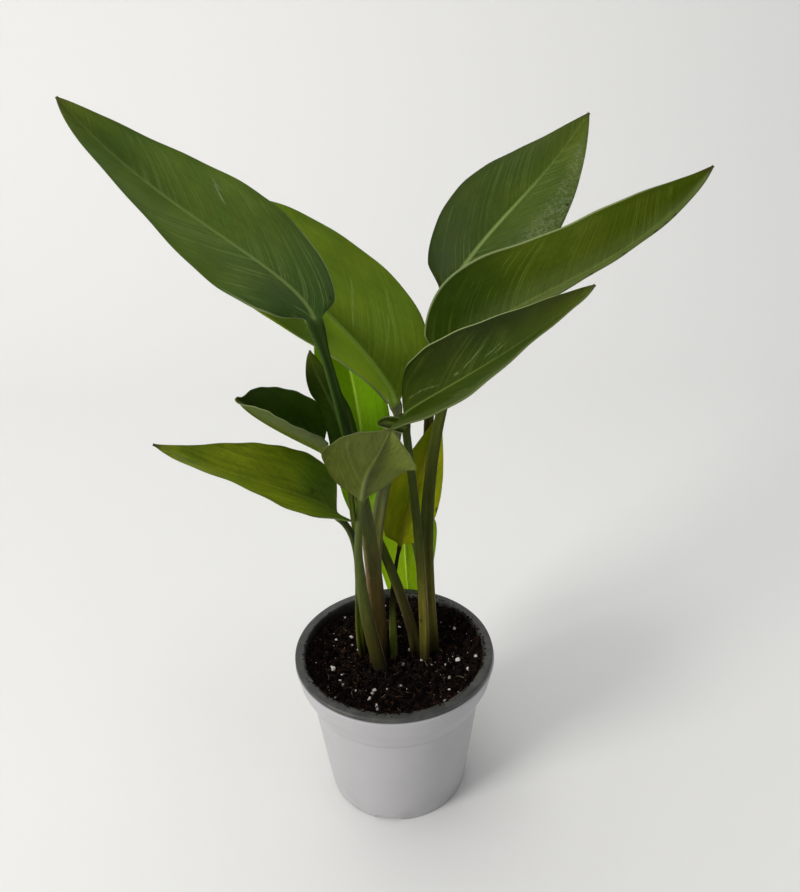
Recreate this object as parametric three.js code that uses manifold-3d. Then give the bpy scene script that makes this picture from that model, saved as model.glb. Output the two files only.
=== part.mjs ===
// Potted bird of paradise: a light outer pot, a dark nursery pot in it, soil and twelve leaves.
// Millimetres, +Z up, origin at the centre of the outer pot's base. The front is -Y.

import * as THREE from "three";
import { mergeVertices } from "three/addons/utils/BufferGeometryUtils.js";
import Module from "manifold-3d";

const wasm = await Module();
wasm.setup();

// Outer pot: a tapered cup whose top third flares to a lip
const POT_FACETS = 40;
const OUTER_WALL = 1.8;
const OUTER_FLOOR = 2.6;
const OUTER_BASE_RADIUS = 42.6;
const OUTER_BASE_ROUND = 1.6;
const OUTER_SHOULDER = { radius: 51.3, height: 64 };
const OUTER_STEP = 0.5;
const OUTER_FLARE = { radius: 58.2, height: 85 };
const OUTER_LIP = { radius: 60.4, height: 96.8 };
const FOOT_NOTCH = { width: 15, height: 1.6, count: 4, firstAngle: -92 };

// Nursery pot: it hangs in the outer pot by a flat rim
const SEAT_GAP = 0.3;
const RIM_TOP = 99.9;
const RIM_RADIUS = 60;
const RIM_INNER_RADIUS = 54.4;
const RIM_THICKNESS = RIM_TOP - OUTER_LIP.height - SEAT_GAP;
const NURSERY_WALL = 1.2;
const NURSERY_SHOULDER = { radius: 48.2, height: 66 };
const NURSERY_BASE = { radius: 40.6, height: 6 };
const NURSERY_FLOOR = 1.4;
const DRAIN_HOLES = { count: 6, radius: 4, ring: 28, facets: 12 };
const NURSERY_SHIFT = [-0.3, 0.3];

// Soil: a filled cone with a crumbly top and white grains lying in it
const SOIL_TOP = 92;
const SOIL_RELIEF = 1.3;
const SOIL_RINGS = 11;
const GRAIN_COUNT = 46;
const GRAIN_SIZE = [0.9, 1.7];
const HOLE_CLEARANCE = 0.45;
const SET_DEPTH = 14;

// Leaves: the blade is a thin sheet on its midrib, the stalk runs down into the soil
const BLADE_THICKNESS = 0.9;
const EDGE_THICKNESS = 0.7;
const BLADE_ROWS = 15;
const EAR_ROWS = 6;
const STALK_ROWS = 7;
const NECK_SHARE = 0.07;
const FLARE_START = 0.91;
const TIP_HALF_WIDTH = 0.6;
const WELD = 0.08;
const WAVES_ALONG = 1.5;
const WIDE_COLUMNS = [1, 0.7, 0.36];
const NARROW_COLUMNS = [1, 0.5];

// Each leaf is measured on its own. foot, climb, neck, rise, arch and tip place its spine, with the
// blade from neck to tip. face points to the upper side and roll turns it, in degrees at neck and tip.
// swell and taper shape the outline. fold and curl are degrees, wave is the rise of both edges and its
// start, and stem holds half the stalk's width and thickness at the foot and at the neck, where flare
// widens it. An ear is a small flap at the blade's base, given as a blade of its own.
const LEAVES = {
  leaf_upper_left: {
    foot: [-10, -2.5], climb: [-7.5, -4, 173.5], reach: 73, stem: [5.4, 2.6, 2.4, 2.2],
    neck: [-33, -13, 315], rise: [-41, 3, 336.5], arch: [-109.5, 3, 366.5], tip: [-143, 4, 418],
    face: [0, -0.6, 1], roll: [-22, -4], width: 67, swell: 0.59, taper: 0.91,
    fold: [14, 29], curl: [-26, -4], wave: [3, -1.8, 0.09], lobe: 0, flare: 2.3, wide: true,
  },
  leaf_upper_left_rear: {
    foot: [-6.8, 4.7], climb: [-21, 7.7, 200], reach: 23, stem: [4.4, 2.5, 2.4, 2.2],
    neck: [5, 15.5, 256], rise: [-8.5, 22, 291.5], arch: [-69, 35, 343.5], tip: [-99, 50, 350],
    face: [0, -0.6, 1], roll: [-20, 10], width: 79, swell: 0.46, taper: 0.67,
    fold: [48, 16], curl: [-8, -10], wave: [1.4, 2.1, -0.08], lobe: 0, flare: 1.6, wide: true,
  },
  leaf_upper_right: {
    foot: [21, 15], climb: [20, 30, 200], reach: 14, stem: [3.2, 2.8, 2.4, 2.2],
    neck: [33, 55, 302], rise: [60.5, 57, 347], arch: [84, 67, 353.5], tip: [112.5, 78, 395],
    face: [0, -0.6, 1], roll: [-1, -13], width: 63, swell: 0.52, taper: 0.94,
    fold: [19, 8], curl: [-24, -15], wave: [-1.2, 1.1, 0.04], lobe: 0, flare: 1, wide: true,
  },
  leaf_long_right: {
    foot: [22.6, 6.5], climb: [19, 8, 150.5], reach: 61, stem: [4.9, 3.2, 2.7, 2.4],
    neck: [37.5, 16.5, 278.5], rise: [49, 21, 311], arch: [132, 25.5, 317], tip: [166, 29.5, 375],
    face: [0, -0.6, 1], roll: [4, 13], width: 66, swell: 0.48, taper: 0.85,
    fold: [45, 47], curl: [-9, 0], wave: [3.9, 0.1, 0], lobe: 0.2, flare: 0.6, wide: true,
  },
  leaf_lower_right: {
    foot: [18.2, -0.8], climb: [19, -3, 161.5], reach: 60, stem: [3, 2.5, 2.1, 2],
    neck: [9.5, -18, 264], rise: [9, -24, 272.5], arch: [65.5, -29.5, 299.5], tip: [99.5, -24.5, 333],
    face: [0, -0.7, 1], roll: [28, 26], width: 59, swell: 0.46, taper: 0.89,
    fold: [28, 28], curl: [-19, -5], wave: [-0.5, 2.4, 0.06], lobe: 0, flare: 1.1, wide: true,
    ear: {
      neck: [10, -18, 258], rise: [4, -20, 262.5], arch: [0, -19.5, 263], tip: [-4, -17, 260.5],
      face: [0, -1, 0.5], roll: [0, 0], width: 8, swell: 0.3, taper: 0.6,
      fold: [10, 10], curl: [30, 40], wave: [0, 0, 0], lobe: 0, flare: 0, wide: false,
    },
  },
  leaf_boat: {
    foot: [13.2, 5.2], climb: [13.5, 8.5, 115], reach: 18, stem: [3.8, 2.3, 2, 1.9],
    neck: [-36, 19, 227], rise: [-54.5, 17.5, 238.5], arch: [-80, 13, 256], tip: [-79.5, 13.5, 264],
    face: [0, -0.2, 1], roll: [-7, -22], width: 54, swell: 0.42, taper: 0.82,
    fold: [47, 28], curl: [-9, -5], wave: [0.9, 0, 0.14], lobe: 0.05, flare: 0.6, wide: false,
  },
  leaf_lower_left: {
    foot: [-19.5, 2.5], climb: [-23, -6, 140], reach: 29, stem: [2.6, 2.2, 2.1, 1.9],
    neck: [-27, -19.5, 207], rise: [-46, -31.5, 233], arch: [-69, -35.5, 235.5], tip: [-112, -42.5, 265.5],
    face: [0, -0.4, 1], roll: [-14, -18], width: 58, swell: 0.47, taper: 0.97,
    fold: [34, 21], curl: [-16, -9], wave: [2.2, 1.1, 0.18], lobe: 0.05, flare: 0.8, wide: true,
  },
  leaf_front: {
    foot: [-8.5, -9.8], climb: [-17.5, -14, 146.5], reach: 48, stem: [4.2, 2, 1.7, 1.7],
    neck: [-13.5, -38, 229], rise: [-10.5, -42, 250.5], arch: [-6, -52.5, 254], tip: [3, -62, 280],
    face: [0, 1, 0.6], roll: [-1, 18], width: 50, swell: 0.45, taper: 0.85,
    fold: [38, 9], curl: [-14, -15], wave: [1.4, 2.1, 0.07], lobe: 0.13, flare: 0.4, wide: false,
  },
  leaf_narrow: {
    foot: [-16, 12], climb: [-16, 18, 147], reach: 41, stem: [2, 1.8, 1.6, 1.5],
    neck: [-21.5, 3.5, 226], rise: [-20.5, 2, 256], arch: [-36.5, 1, 278], tip: [-37.5, -1, 295],
    face: [0, -1, 0.3], roll: [23, 17], width: 18, swell: 0.43, taper: 0.8,
    fold: [24, 8], curl: [-21, -15], wave: [3.2, 0.6, 0.14], lobe: 0, flare: 0.2, wide: false,
  },
  leaf_rear_bright: {
    foot: [-7, 17], climb: [-9, 22, 124], reach: 29, stem: [2.2, 2, 1.8, 1.7],
    neck: [-13, 30.5, 172.5], rise: [-13.5, 38.5, 207.5], arch: [-14.5, 47, 268.5], tip: [-34, 54, 307.5],
    face: [0, -1, 0.3], roll: [16, 17], width: 40, swell: 0.51, taper: 0.52,
    fold: [17, 16], curl: [-7, -6], wave: [3.2, 0.2, 0.2], lobe: 0, flare: 0.4, wide: true,
  },
  leaf_rear_right: {
    foot: [-0.4, -0.5], climb: [-1.2, 14, 125], reach: 23, stem: [2.4, 1.8, 1, 1],
    neck: [5, 20, 161], rise: [13, 25, 195.5], arch: [19, 29, 202], tip: [30.5, 36, 241],
    face: [0, -1, 0.3], roll: [-3, 1], width: 32, swell: 0.47, taper: 0.95,
    fold: [26, 7], curl: [-20, -15], wave: [1, 1.5, 0.04], lobe: 0.08, flare: 0.4, wide: false,
  },
  leaf_drooping: {
    foot: [20, 24], climb: [18, 32, 140], reach: 22, stem: [2.2, 1.9, 1.7, 1.6],
    neck: [10, 52, 157], rise: [7, 64, 158], arch: [8, 84, 118], tip: [11, 92, 42],
    face: [0, 0.4, 1], roll: [0, 0], width: 43, swell: 0.5, taper: 0.62,
    fold: [22, 8], curl: [-18, -12], wave: [1.2, 1.4, 0.3], lobe: 0.1, flare: 0.4, wide: false,
  },
};

const COLOURS = {
  outerPot: 0xd7d6d8,
  nurseryPot: 0x53565a,
  soil: 0x1e1611,
  darkLeaf: 0x33501f,
  oliveLeaf: 0x56701f,
  brightLeaf: 0x86b01c,
  greyLeaf: 0x6a7a4a,
};

const { lerp, smoothstep, degToRad } = THREE.MathUtils;

function material(color, roughness) {
  return new THREE.MeshStandardMaterial({ color, roughness, metalness: 0 });
}

// A closed geometry as a solid that can be joined and cut
function solidFrom(geometry) {
  const bare = geometry.clone();
  bare.deleteAttribute("normal");
  bare.deleteAttribute("uv");
  const merged = mergeVertices(bare, 1e-4);
  return new wasm.Manifold(
    new wasm.Mesh({
      numProp: 3,
      vertProperties: new Float32Array(merged.attributes.position.array),
      triVerts: new Uint32Array(merged.index.array),
    }),
  );
}

// A solid back as a geometry that three.js draws
function geometryFrom(solid) {
  const mesh = solid.getMesh();
  const geometry = new THREE.BufferGeometry();
  geometry.setAttribute("position", new THREE.BufferAttribute(new Float32Array(mesh.vertProperties), 3));
  geometry.setIndex(new THREE.BufferAttribute(new Uint32Array(mesh.triVerts), 1));
  geometry.computeVertexNormals();
  return geometry;
}

// The largest of a solid's separate parts, without the crumbs that a cut can leave
function largestPart(solid) {
  return solid.decompose().reduce((most, part) => (part.volume() > most.volume() ? part : most));
}

// A profile of [radius, height] pairs turned about the Z axis
function turned(profile, facets) {
  const points = profile.map(([radius, height]) => new THREE.Vector2(radius, height));
  return new THREE.LatheGeometry(points, facets).rotateX(Math.PI / 2);
}

// Outer pot

function outerPotProfile() {
  const outside = [
    [0, 0],
    [OUTER_BASE_RADIUS - OUTER_BASE_ROUND, 0],
    [OUTER_BASE_RADIUS, OUTER_BASE_ROUND],
    [OUTER_BASE_RADIUS + 1.4, 5 * OUTER_BASE_ROUND],
    [OUTER_SHOULDER.radius - OUTER_STEP, OUTER_SHOULDER.height],
    [OUTER_SHOULDER.radius, OUTER_SHOULDER.height + OUTER_STEP],
  ];
  const flare = new THREE.CubicBezierCurve(
    new THREE.Vector2(OUTER_SHOULDER.radius, OUTER_SHOULDER.height + OUTER_STEP),
    new THREE.Vector2(OUTER_SHOULDER.radius + 0.8, OUTER_SHOULDER.height + 7),
    new THREE.Vector2(OUTER_FLARE.radius - 1.2, OUTER_FLARE.height - 8),
    new THREE.Vector2(OUTER_FLARE.radius, OUTER_FLARE.height),
  );
  const curve = flare.getPoints(5).slice(1).map((p) => [p.x, p.y]);
  const lip = [
    [OUTER_LIP.radius, OUTER_LIP.height - 1],
    [OUTER_LIP.radius - 0.4, OUTER_LIP.height],
  ];
  const outline = [...outside, ...curve, ...lip];
  const inside = outline
    .slice(3)
    .reverse()
    .map(([radius, height]) => [radius - OUTER_WALL, height]);
  inside[0][0] = OUTER_LIP.radius - OUTER_WALL;
  return [...outline, ...inside, [OUTER_BASE_RADIUS - OUTER_WALL, OUTER_FLOOR], [0, OUTER_FLOOR]];
}

function outerPot() {
  const notch = new THREE.BoxGeometry(FOOT_NOTCH.width, 8, 2 * FOOT_NOTCH.height);
  let body = solidFrom(turned(outerPotProfile(), POT_FACETS));
  for (let i = 0; i < FOOT_NOTCH.count; i++) {
    const angle = degToRad(FOOT_NOTCH.firstAngle + (360 * i) / FOOT_NOTCH.count);
    const placed = notch.clone();
    placed.rotateZ(angle + Math.PI / 2);
    placed.translate(OUTER_BASE_RADIUS * Math.cos(angle), OUTER_BASE_RADIUS * Math.sin(angle), 0);
    body = body.subtract(solidFrom(placed));
  }
  return new THREE.Mesh(geometryFrom(body), material(COLOURS.outerPot, 0.45));
}

// Nursery pot

// The nursery pot's outside radius at a height between its base and its rim
function nurseryRadius(height) {
  const rimRadius = RIM_INNER_RADIUS + NURSERY_WALL;
  if (height < NURSERY_SHOULDER.height) {
    const share = (height - NURSERY_BASE.height) / (NURSERY_SHOULDER.height - NURSERY_BASE.height);
    return lerp(NURSERY_BASE.radius, NURSERY_SHOULDER.radius, share);
  }
  const share = (height - NURSERY_SHOULDER.height) / (RIM_TOP - NURSERY_SHOULDER.height);
  return lerp(NURSERY_SHOULDER.radius, rimRadius, share);
}

function nurseryPot() {
  const rimBottom = RIM_TOP - RIM_THICKNESS;
  const floorTop = NURSERY_BASE.height + NURSERY_FLOOR;
  const profile = [
    [0, NURSERY_BASE.height],
    [NURSERY_BASE.radius - 1, NURSERY_BASE.height],
    [NURSERY_BASE.radius, NURSERY_BASE.height + 1],
    [NURSERY_SHOULDER.radius, NURSERY_SHOULDER.height],
    [nurseryRadius(rimBottom), rimBottom],
    [RIM_RADIUS - 0.4, rimBottom],
    [RIM_RADIUS, rimBottom + 0.6],
    [RIM_RADIUS, RIM_TOP - 0.6],
    [RIM_RADIUS - 0.5, RIM_TOP],
    [RIM_INNER_RADIUS + 0.4, RIM_TOP],
    [RIM_INNER_RADIUS, RIM_TOP - 0.5],
    [NURSERY_SHOULDER.radius - NURSERY_WALL, NURSERY_SHOULDER.height],
    [nurseryRadius(floorTop) - NURSERY_WALL, floorTop],
    [0, floorTop],
  ];
  let body = solidFrom(turned(profile, POT_FACETS));
  const { count, radius, ring, facets } = DRAIN_HOLES;
  for (let i = 0; i < count; i++) {
    const angle = (2 * Math.PI * i) / count;
    const drill = new THREE.CylinderGeometry(radius, radius, 4 * NURSERY_FLOOR, facets);
    drill.rotateX(Math.PI / 2);
    drill.translate(ring * Math.cos(angle), ring * Math.sin(angle), NURSERY_BASE.height);
    body = body.subtract(solidFrom(drill));
  }
  const mesh = new THREE.Mesh(geometryFrom(body), material(COLOURS.nurseryPot, 0.55));
  mesh.position.set(...NURSERY_SHIFT, 0);
  return mesh;
}

// Leaves

const vector = (xyz) => new THREE.Vector3(...xyz);

// The spine of a leaf: the stalk's curve and the blade's curve, which run on smoothly at the neck
function spineOf(leaf) {
  const [foot, climb] = [new THREE.Vector3(...leaf.foot, SOIL_TOP), vector(leaf.climb)];
  const [neck, rise] = [vector(leaf.neck), vector(leaf.rise)];
  const leaving = rise.clone().sub(neck).normalize();
  const approach = neck.clone().addScaledVector(leaving, -leaf.reach);
  return {
    foot,
    stalk: new THREE.CubicBezierCurve3(foot, climb, approach, neck),
    blade: new THREE.CubicBezierCurve3(neck, rise, vector(leaf.arch), vector(leaf.tip)),
  };
}

// The frame at a point of the spine: up is the upper side's normal, side points to the right half,
// and a positive roll lifts that half
function frameAt(tangent, face, roll) {
  const up = face.clone().addScaledVector(tangent, -face.dot(tangent)).normalize();
  up.applyAxisAngle(tangent, degToRad(-roll));
  return { tangent, up, side: new THREE.Vector3().crossVectors(tangent, up) };
}

function shifted(point, frame, along, sideways, upwards) {
  return point
    .clone()
    .addScaledVector(frame.tangent, along)
    .addScaledVector(frame.side, sideways)
    .addScaledVector(frame.up, upwards);
}

// One section of the stalk: a flat-topped oval, as a chain of points above and one below
function stalkSection(point, frame, halfWidth, halfThickness, flatness, count) {
  const above = [];
  const below = [];
  for (let j = 0; j < count; j++) {
    const angle = Math.PI * (j / (count - 1) - 0.5);
    const sideways = halfWidth * Math.sin(angle);
    const bulge = halfThickness * Math.cos(angle);
    above.push(shifted(point, frame, 0, sideways, flatness * bulge + EDGE_THICKNESS / 2));
    below.push(shifted(point, frame, 0, sideways, -bulge - EDGE_THICKNESS / 2));
  }
  return { above, below };
}

// The half width of a blade as a share of its greatest, from 0 at the neck to 0 at the tip
function outlineShare(share, swell, taper) {
  const widest = swell / (swell + taper);
  const peak = widest ** swell * (1 - widest) ** taper;
  return (share ** swell * (1 - share) ** taper) / peak;
}

// Columns across a blade, as shares of its half width, with the midrib's own three in the middle
function columnsOf(leaf, ribShare) {
  const right = leaf.wide ? WIDE_COLUMNS : NARROW_COLUMNS;
  const half = [...right, Math.min(ribShare, 0.2)];
  return [...half.map((share) => -share), 0, ...half.reverse()];
}

// One section of the blade: each half bends along an arc from its fold angle by its curl angle
function bladeSection(leaf, point, frame, share) {
  const halfWidth = Math.max((leaf.width / 2) * outlineShare(share, leaf.swell, leaf.taper), TIP_HALF_WIDTH);
  const fold = degToRad(lerp(...leaf.fold, share));
  const curl = degToRad(lerp(...leaf.curl, share)) || 1e-3;
  const rib = lerp(leaf.stem[2], 0.4, share);
  const wavePhase = Math.sin(2 * Math.PI * (WAVES_ALONG * share + leaf.wave[2])) * Math.min(1, halfWidth / 8);
  const lobe = leaf.lobe * (leaf.width / 2) * Math.max(0, 1 - share / 0.2) ** 2;
  const above = [];
  const below = [];
  for (const column of columnsOf(leaf, rib / halfWidth)) {
    const [across, hand] = [Math.abs(column), Math.sign(column)];
    const bend = fold + curl * across;
    const sideways = (hand * halfWidth * (Math.sin(bend) - Math.sin(fold))) / curl;
    const wave = leaf.wave[hand < 0 ? 0 : 1] * across * across * wavePhase;
    const height = (halfWidth * (Math.cos(fold) - Math.cos(bend))) / curl + wave;
    const tilt = hand * bend;
    const half = lerp(BLADE_THICKNESS, EDGE_THICKNESS, across) / 2;
    const keel = column === 0 ? lerp(leaf.stem[3], 0.3, share) : 0;
    const lean = -Math.sin(tilt) * half;
    const lift = Math.cos(tilt) * half;
    above.push(shifted(point, frame, -lobe * across, sideways + lean, height + lift));
    below.push(shifted(point, frame, -lobe * across, sideways - lean, height - lift - keel));
  }
  return { above, below };
}

function blended(from, to, share) {
  const mix = (chain) => from[chain].map((p, j) => p.clone().lerp(to[chain][j], share));
  return { above: mix("above"), below: mix("below") };
}

// Half the stalk's width and thickness at a share of its height: the wide sheath at its foot narrows
// all the way up, and just under the blade the stalk flares into it
function stalkSize(leaf, share) {
  const narrowed = smoothstep(share, 0, 1);
  const flare = leaf.flare * smoothstep(share, FLARE_START, 1);
  return [lerp(leaf.stem[0], leaf.stem[2], narrowed) + flare, lerp(leaf.stem[1], leaf.stem[3], narrowed)];
}

// The stalk's sections from its set end up to a share of its height, each wider by a clearance
function stalkSections(leaf, spine, highest, clearance) {
  const count = columnsOf(leaf, 0).length;
  const face = vector(leaf.face);
  const sections = [];
  for (let i = -1; i <= STALK_ROWS; i++) {
    const share = (Math.max(i, 0) / STALK_ROWS) * highest;
    const point = spine.stalk.getPoint(share);
    if (i < 0) point.z -= SET_DEPTH + clearance;
    const frame = frameAt(spine.stalk.getTangent(share), face, leaf.roll[0]);
    const [width, thickness] = stalkSize(leaf, share).map((size) => size + clearance);
    sections.push(stalkSection(point, frame, width, thickness, lerp(0.75, 0.4, share), count));
  }
  return sections;
}

function bladeSections(leaf, spine, rows) {
  const count = columnsOf(leaf, 0).length;
  const face = vector(leaf.face);
  const sections = [];
  for (let i = 1; i <= rows; i++) {
    const share = (1 - Math.cos((Math.PI * i) / rows)) / 2;
    const point = spine.blade.getPoint(share);
    const frame = frameAt(spine.blade.getTangent(share), face, lerp(...leaf.roll, share));
    const stalk = stalkSection(point, frame, ...stalkSize(leaf, 1), 0.4, count);
    const blade = bladeSection(leaf, point, frame, share);
    sections.push(blended(stalk, blade, smoothstep(share, 0, NECK_SHARE)));
  }
  return sections;
}

// A closed skin over a row of sections, with both faces split into triangles alike
function skinOver(sections) {
  const count = sections[0].above.length;
  const last = sections.length - 1;
  const positions = [];
  for (const { above, below } of sections) {
    for (const p of [...above, ...below]) positions.push(p.x, p.y, p.z);
  }
  const above = (i, j) => i * 2 * count + j;
  const below = (i, j) => above(i, j) + count;
  const faces = [];
  const quad = (a, b, c, d) => faces.push(a, b, c, a, c, d);
  for (let i = 0; i < last; i++) {
    for (let j = 0; j < count - 1; j++) {
      quad(above(i, j), above(i, j + 1), above(i + 1, j + 1), above(i + 1, j));
      faces.push(below(i, j), below(i + 1, j + 1), below(i, j + 1));
      faces.push(below(i, j), below(i + 1, j), below(i + 1, j + 1));
    }
    quad(below(i, 0), above(i, 0), above(i + 1, 0), below(i + 1, 0));
    quad(above(i, count - 1), below(i, count - 1), below(i + 1, count - 1), above(i + 1, count - 1));
  }
  for (let j = 0; j < count - 1; j++) {
    quad(below(0, j), below(0, j + 1), above(0, j + 1), above(0, j));
    quad(above(last, j), above(last, j + 1), below(last, j + 1), below(last, j));
  }
  const geometry = new THREE.BufferGeometry();
  geometry.setAttribute("position", new THREE.Float32BufferAttribute(positions, 3));
  geometry.setIndex(faces);
  geometry.computeVertexNormals();
  return geometry;
}

function leafGeometry(leaf) {
  const spine = spineOf(leaf);
  const skin = skinOver([...stalkSections(leaf, spine, 1, 0), ...bladeSections(leaf, spine, BLADE_ROWS)]);
  if (!leaf.ear) return skin;
  const ear = { ...leaf, ...leaf.ear };
  const flap = skinOver(bladeSections(ear, spineOf(ear), EAR_ROWS));
  return geometryFrom(solidFrom(skin).add(solidFrom(flap)).simplify(WELD));
}

// The hole that a leaf's stalk stands in
function stalkHole(leaf) {
  return solidFrom(skinOver(stalkSections(leaf, spineOf(leaf), 0.1, HOLE_CLEARANCE)));
}

// Soil

// Repeatable scatter: a share from 0 to 1 for each whole number
function scatter(n) {
  const value = Math.sin(12.9898 * n + 78.233) * 43758.5453;
  return value - Math.floor(value);
}

function soilHeight(x, y) {
  const coarse = Math.sin(0.23 * x + 0.6) * Math.cos(0.19 * y - 0.4);
  const fine = Math.sin(0.71 * x - 0.5 * y) + Math.cos(0.63 * y + 0.37 * x + 1.1);
  return SOIL_TOP + SOIL_RELIEF * (0.45 * coarse + 0.3 * fine);
}

function soilRadius(height) {
  return nurseryRadius(height) - NURSERY_WALL - SEAT_GAP;
}

function soilBody() {
  const floor = NURSERY_BASE.height + NURSERY_FLOOR + SEAT_GAP;
  const profile = [
    [0, floor],
    [soilRadius(floor), floor],
    [soilRadius(NURSERY_SHOULDER.height) - SEAT_GAP, NURSERY_SHOULDER.height],
  ];
  const rim = soilRadius(SOIL_TOP - SOIL_RELIEF) - SEAT_GAP;
  for (let ring = SOIL_RINGS; ring >= 0; ring--) profile.push([(rim * ring) / SOIL_RINGS, SOIL_TOP]);
  const geometry = turned(profile, POT_FACETS);
  const position = geometry.attributes.position;
  for (let i = 0; i < position.count; i++) {
    if (position.getZ(i) < SOIL_TOP - 1) continue;
    const [x, y] = [position.getX(i), position.getY(i)];
    const edgeDrop = 1.6 * (Math.hypot(x, y) / rim) ** 6;
    position.setZ(i, soilHeight(x, y) - edgeDrop);
  }
  geometry.translate(...NURSERY_SHIFT, 0);
  return solidFrom(geometry);
}

function soilGrain(n) {
  const away = 48 * Math.sqrt(scatter(n));
  const angle = 2 * Math.PI * scatter(n + 100);
  const [x, y] = [away * Math.cos(angle), away * Math.sin(angle)];
  const size = lerp(...GRAIN_SIZE, scatter(n + 200));
  const grain = new THREE.OctahedronGeometry(size, 0);
  grain.scale(1, 0.7 + 0.5 * scatter(n + 300), 0.8);
  grain.rotateZ(6 * scatter(n + 400));
  grain.translate(x, y, soilHeight(x, y) + 0.2 * size);
  return { x, y, size, solid: () => solidFrom(grain) };
}

// A grain stays off the stalks, so that each stalk's hole is cut in soil alone
function clearOfStalks({ x, y, size }) {
  return Object.values(LEAVES).every(({ foot, stem }) => {
    return Math.hypot(x - foot[0], y - foot[1]) > stem[0] + size + 1.5;
  });
}

function soil() {
  let body = soilBody();
  for (let n = 1; n <= GRAIN_COUNT; n++) {
    const grain = soilGrain(n);
    if (clearOfStalks(grain)) body = body.add(grain.solid());
  }
  for (const leaf of Object.values(LEAVES)) body = body.subtract(stalkHole(leaf));
  return new THREE.Mesh(geometryFrom(largestPart(body)), material(COLOURS.soil, 0.95));
}

// The whole plant in its pots

const LEAF_COLOURS = {
  leaf_upper_left_rear: COLOURS.oliveLeaf,
  leaf_long_right: COLOURS.oliveLeaf,
  leaf_lower_left: COLOURS.oliveLeaf,
  leaf_front: COLOURS.greyLeaf,
  leaf_rear_bright: COLOURS.brightLeaf,
  leaf_rear_right: COLOURS.oliveLeaf,
  leaf_drooping: COLOURS.brightLeaf,
};

const plant = new THREE.Group();
const pieces = { cover_pot: outerPot(), nursery_pot: nurseryPot(), soil: soil() };
for (const [name, leaf] of Object.entries(LEAVES)) {
  const colour = LEAF_COLOURS[name] ?? COLOURS.darkLeaf;
  pieces[name] = new THREE.Mesh(leafGeometry(leaf), material(colour, 0.5));
}
for (const [name, mesh] of Object.entries(pieces)) {
  mesh.name = name;
  plant.add(mesh);
}

export default plant;
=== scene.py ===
# A young bird of paradise in a dark nursery pot, which hangs by its rim in a pale cover pot.
# Each section makes one piece, or a group of like pieces, in the order in which they go together.
import math

import bpy
import numpy as np
from mathutils import Matrix, Vector


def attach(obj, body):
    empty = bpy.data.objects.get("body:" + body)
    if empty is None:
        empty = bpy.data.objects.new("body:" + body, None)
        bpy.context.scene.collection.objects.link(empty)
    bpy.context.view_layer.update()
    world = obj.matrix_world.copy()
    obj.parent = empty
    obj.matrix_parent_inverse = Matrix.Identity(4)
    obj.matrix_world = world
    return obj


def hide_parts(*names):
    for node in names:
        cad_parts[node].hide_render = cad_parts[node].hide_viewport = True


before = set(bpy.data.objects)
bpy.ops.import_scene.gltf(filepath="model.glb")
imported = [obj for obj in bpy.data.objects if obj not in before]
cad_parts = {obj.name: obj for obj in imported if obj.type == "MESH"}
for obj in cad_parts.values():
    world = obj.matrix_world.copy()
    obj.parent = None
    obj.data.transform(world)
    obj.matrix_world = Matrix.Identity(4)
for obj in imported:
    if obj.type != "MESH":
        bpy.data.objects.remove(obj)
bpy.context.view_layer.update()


# Camera. It looks down on the pot from the front, a little over 60 cm away, at the photograph's
# angle: 27.7 degrees down, turned 1.6 degrees about its own line of sight.
MM = 0.001
CAMERA_AT = Vector((6.8, -428.0, 463.0)) * MM
LOOK_DOWN = math.radians(27.67)
LEAN = math.radians(-1.6)
FOCAL_SHARE = 900.0 / 892.0

forward = Vector((0.0, math.cos(LOOK_DOWN), -math.sin(LOOK_DOWN)))
level = Vector((1.0, 0.0, 0.0))
upright = level.cross(forward)
right = level * math.cos(LEAN) + upright * math.sin(LEAN)
top = upright * math.cos(LEAN) - level * math.sin(LEAN)
camera_data = bpy.data.cameras.new("camera")
camera_data.sensor_width = 36.0
camera_data.lens = 36.0 * FOCAL_SHARE
camera_data.clip_start = 0.01
camera = bpy.data.objects.new("camera", camera_data)
camera.matrix_world = Matrix((right, top, -forward)).transposed().to_4x4()
camera.matrix_world.translation = CAMERA_AT
bpy.context.scene.collection.objects.link(camera)
bpy.context.scene.camera = camera


# Floor. A pale matt sheet lies under the pot and sweeps up far behind it, as a studio's paper
# roll does, so no edge or corner shows.
FLOOR_HALF = 3.0
SWEEP_START = 0.6
SWEEP_RADIUS = 0.6
SWEEP_HEIGHTS = [2.0, 3.0]


def grid_mesh(name, *grids, wrap=False, caps=False):
    """A mesh over grids of points, rows by columns. wrap joins each last column to the first one,
    and caps closes the first and the last row with a flat face."""
    faces, start = [], 0
    for grid in grids:
        rows, columns = grid.shape[:2]
        index = start + np.arange(rows * columns).reshape(rows, columns)
        ring = np.concatenate([index, index[:, :1]], axis=1) if wrap else index
        quads = np.stack([ring[:-1, :-1], ring[:-1, 1:], ring[1:, 1:], ring[1:, :-1]], axis=-1)
        faces += quads.reshape(-1, 4).tolist()
        if caps:
            faces += [index[0][::-1].tolist(), index[-1].tolist()]
        start += rows * columns
    mesh = bpy.data.meshes.new(name)
    mesh.from_pydata(np.concatenate([grid.reshape(-1, 3) for grid in grids]) * MM, [], faces)
    mesh.polygons.foreach_set("use_smooth", np.ones(len(mesh.polygons), bool))
    return mesh


def place(mesh, material, slot=None, node=None):
    """Puts a mesh in the scene with its material. Given a slot, it goes on the one body that the
    plant and pots make, but the slot's name is not used. node is the solid it stands for."""
    piece = bpy.data.objects.new(mesh.name, mesh)
    bpy.context.scene.collection.objects.link(piece)
    mesh.materials.append(material)
    if slot:
        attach(piece, "root")
    if node:
        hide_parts(node)
    return piece


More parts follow.
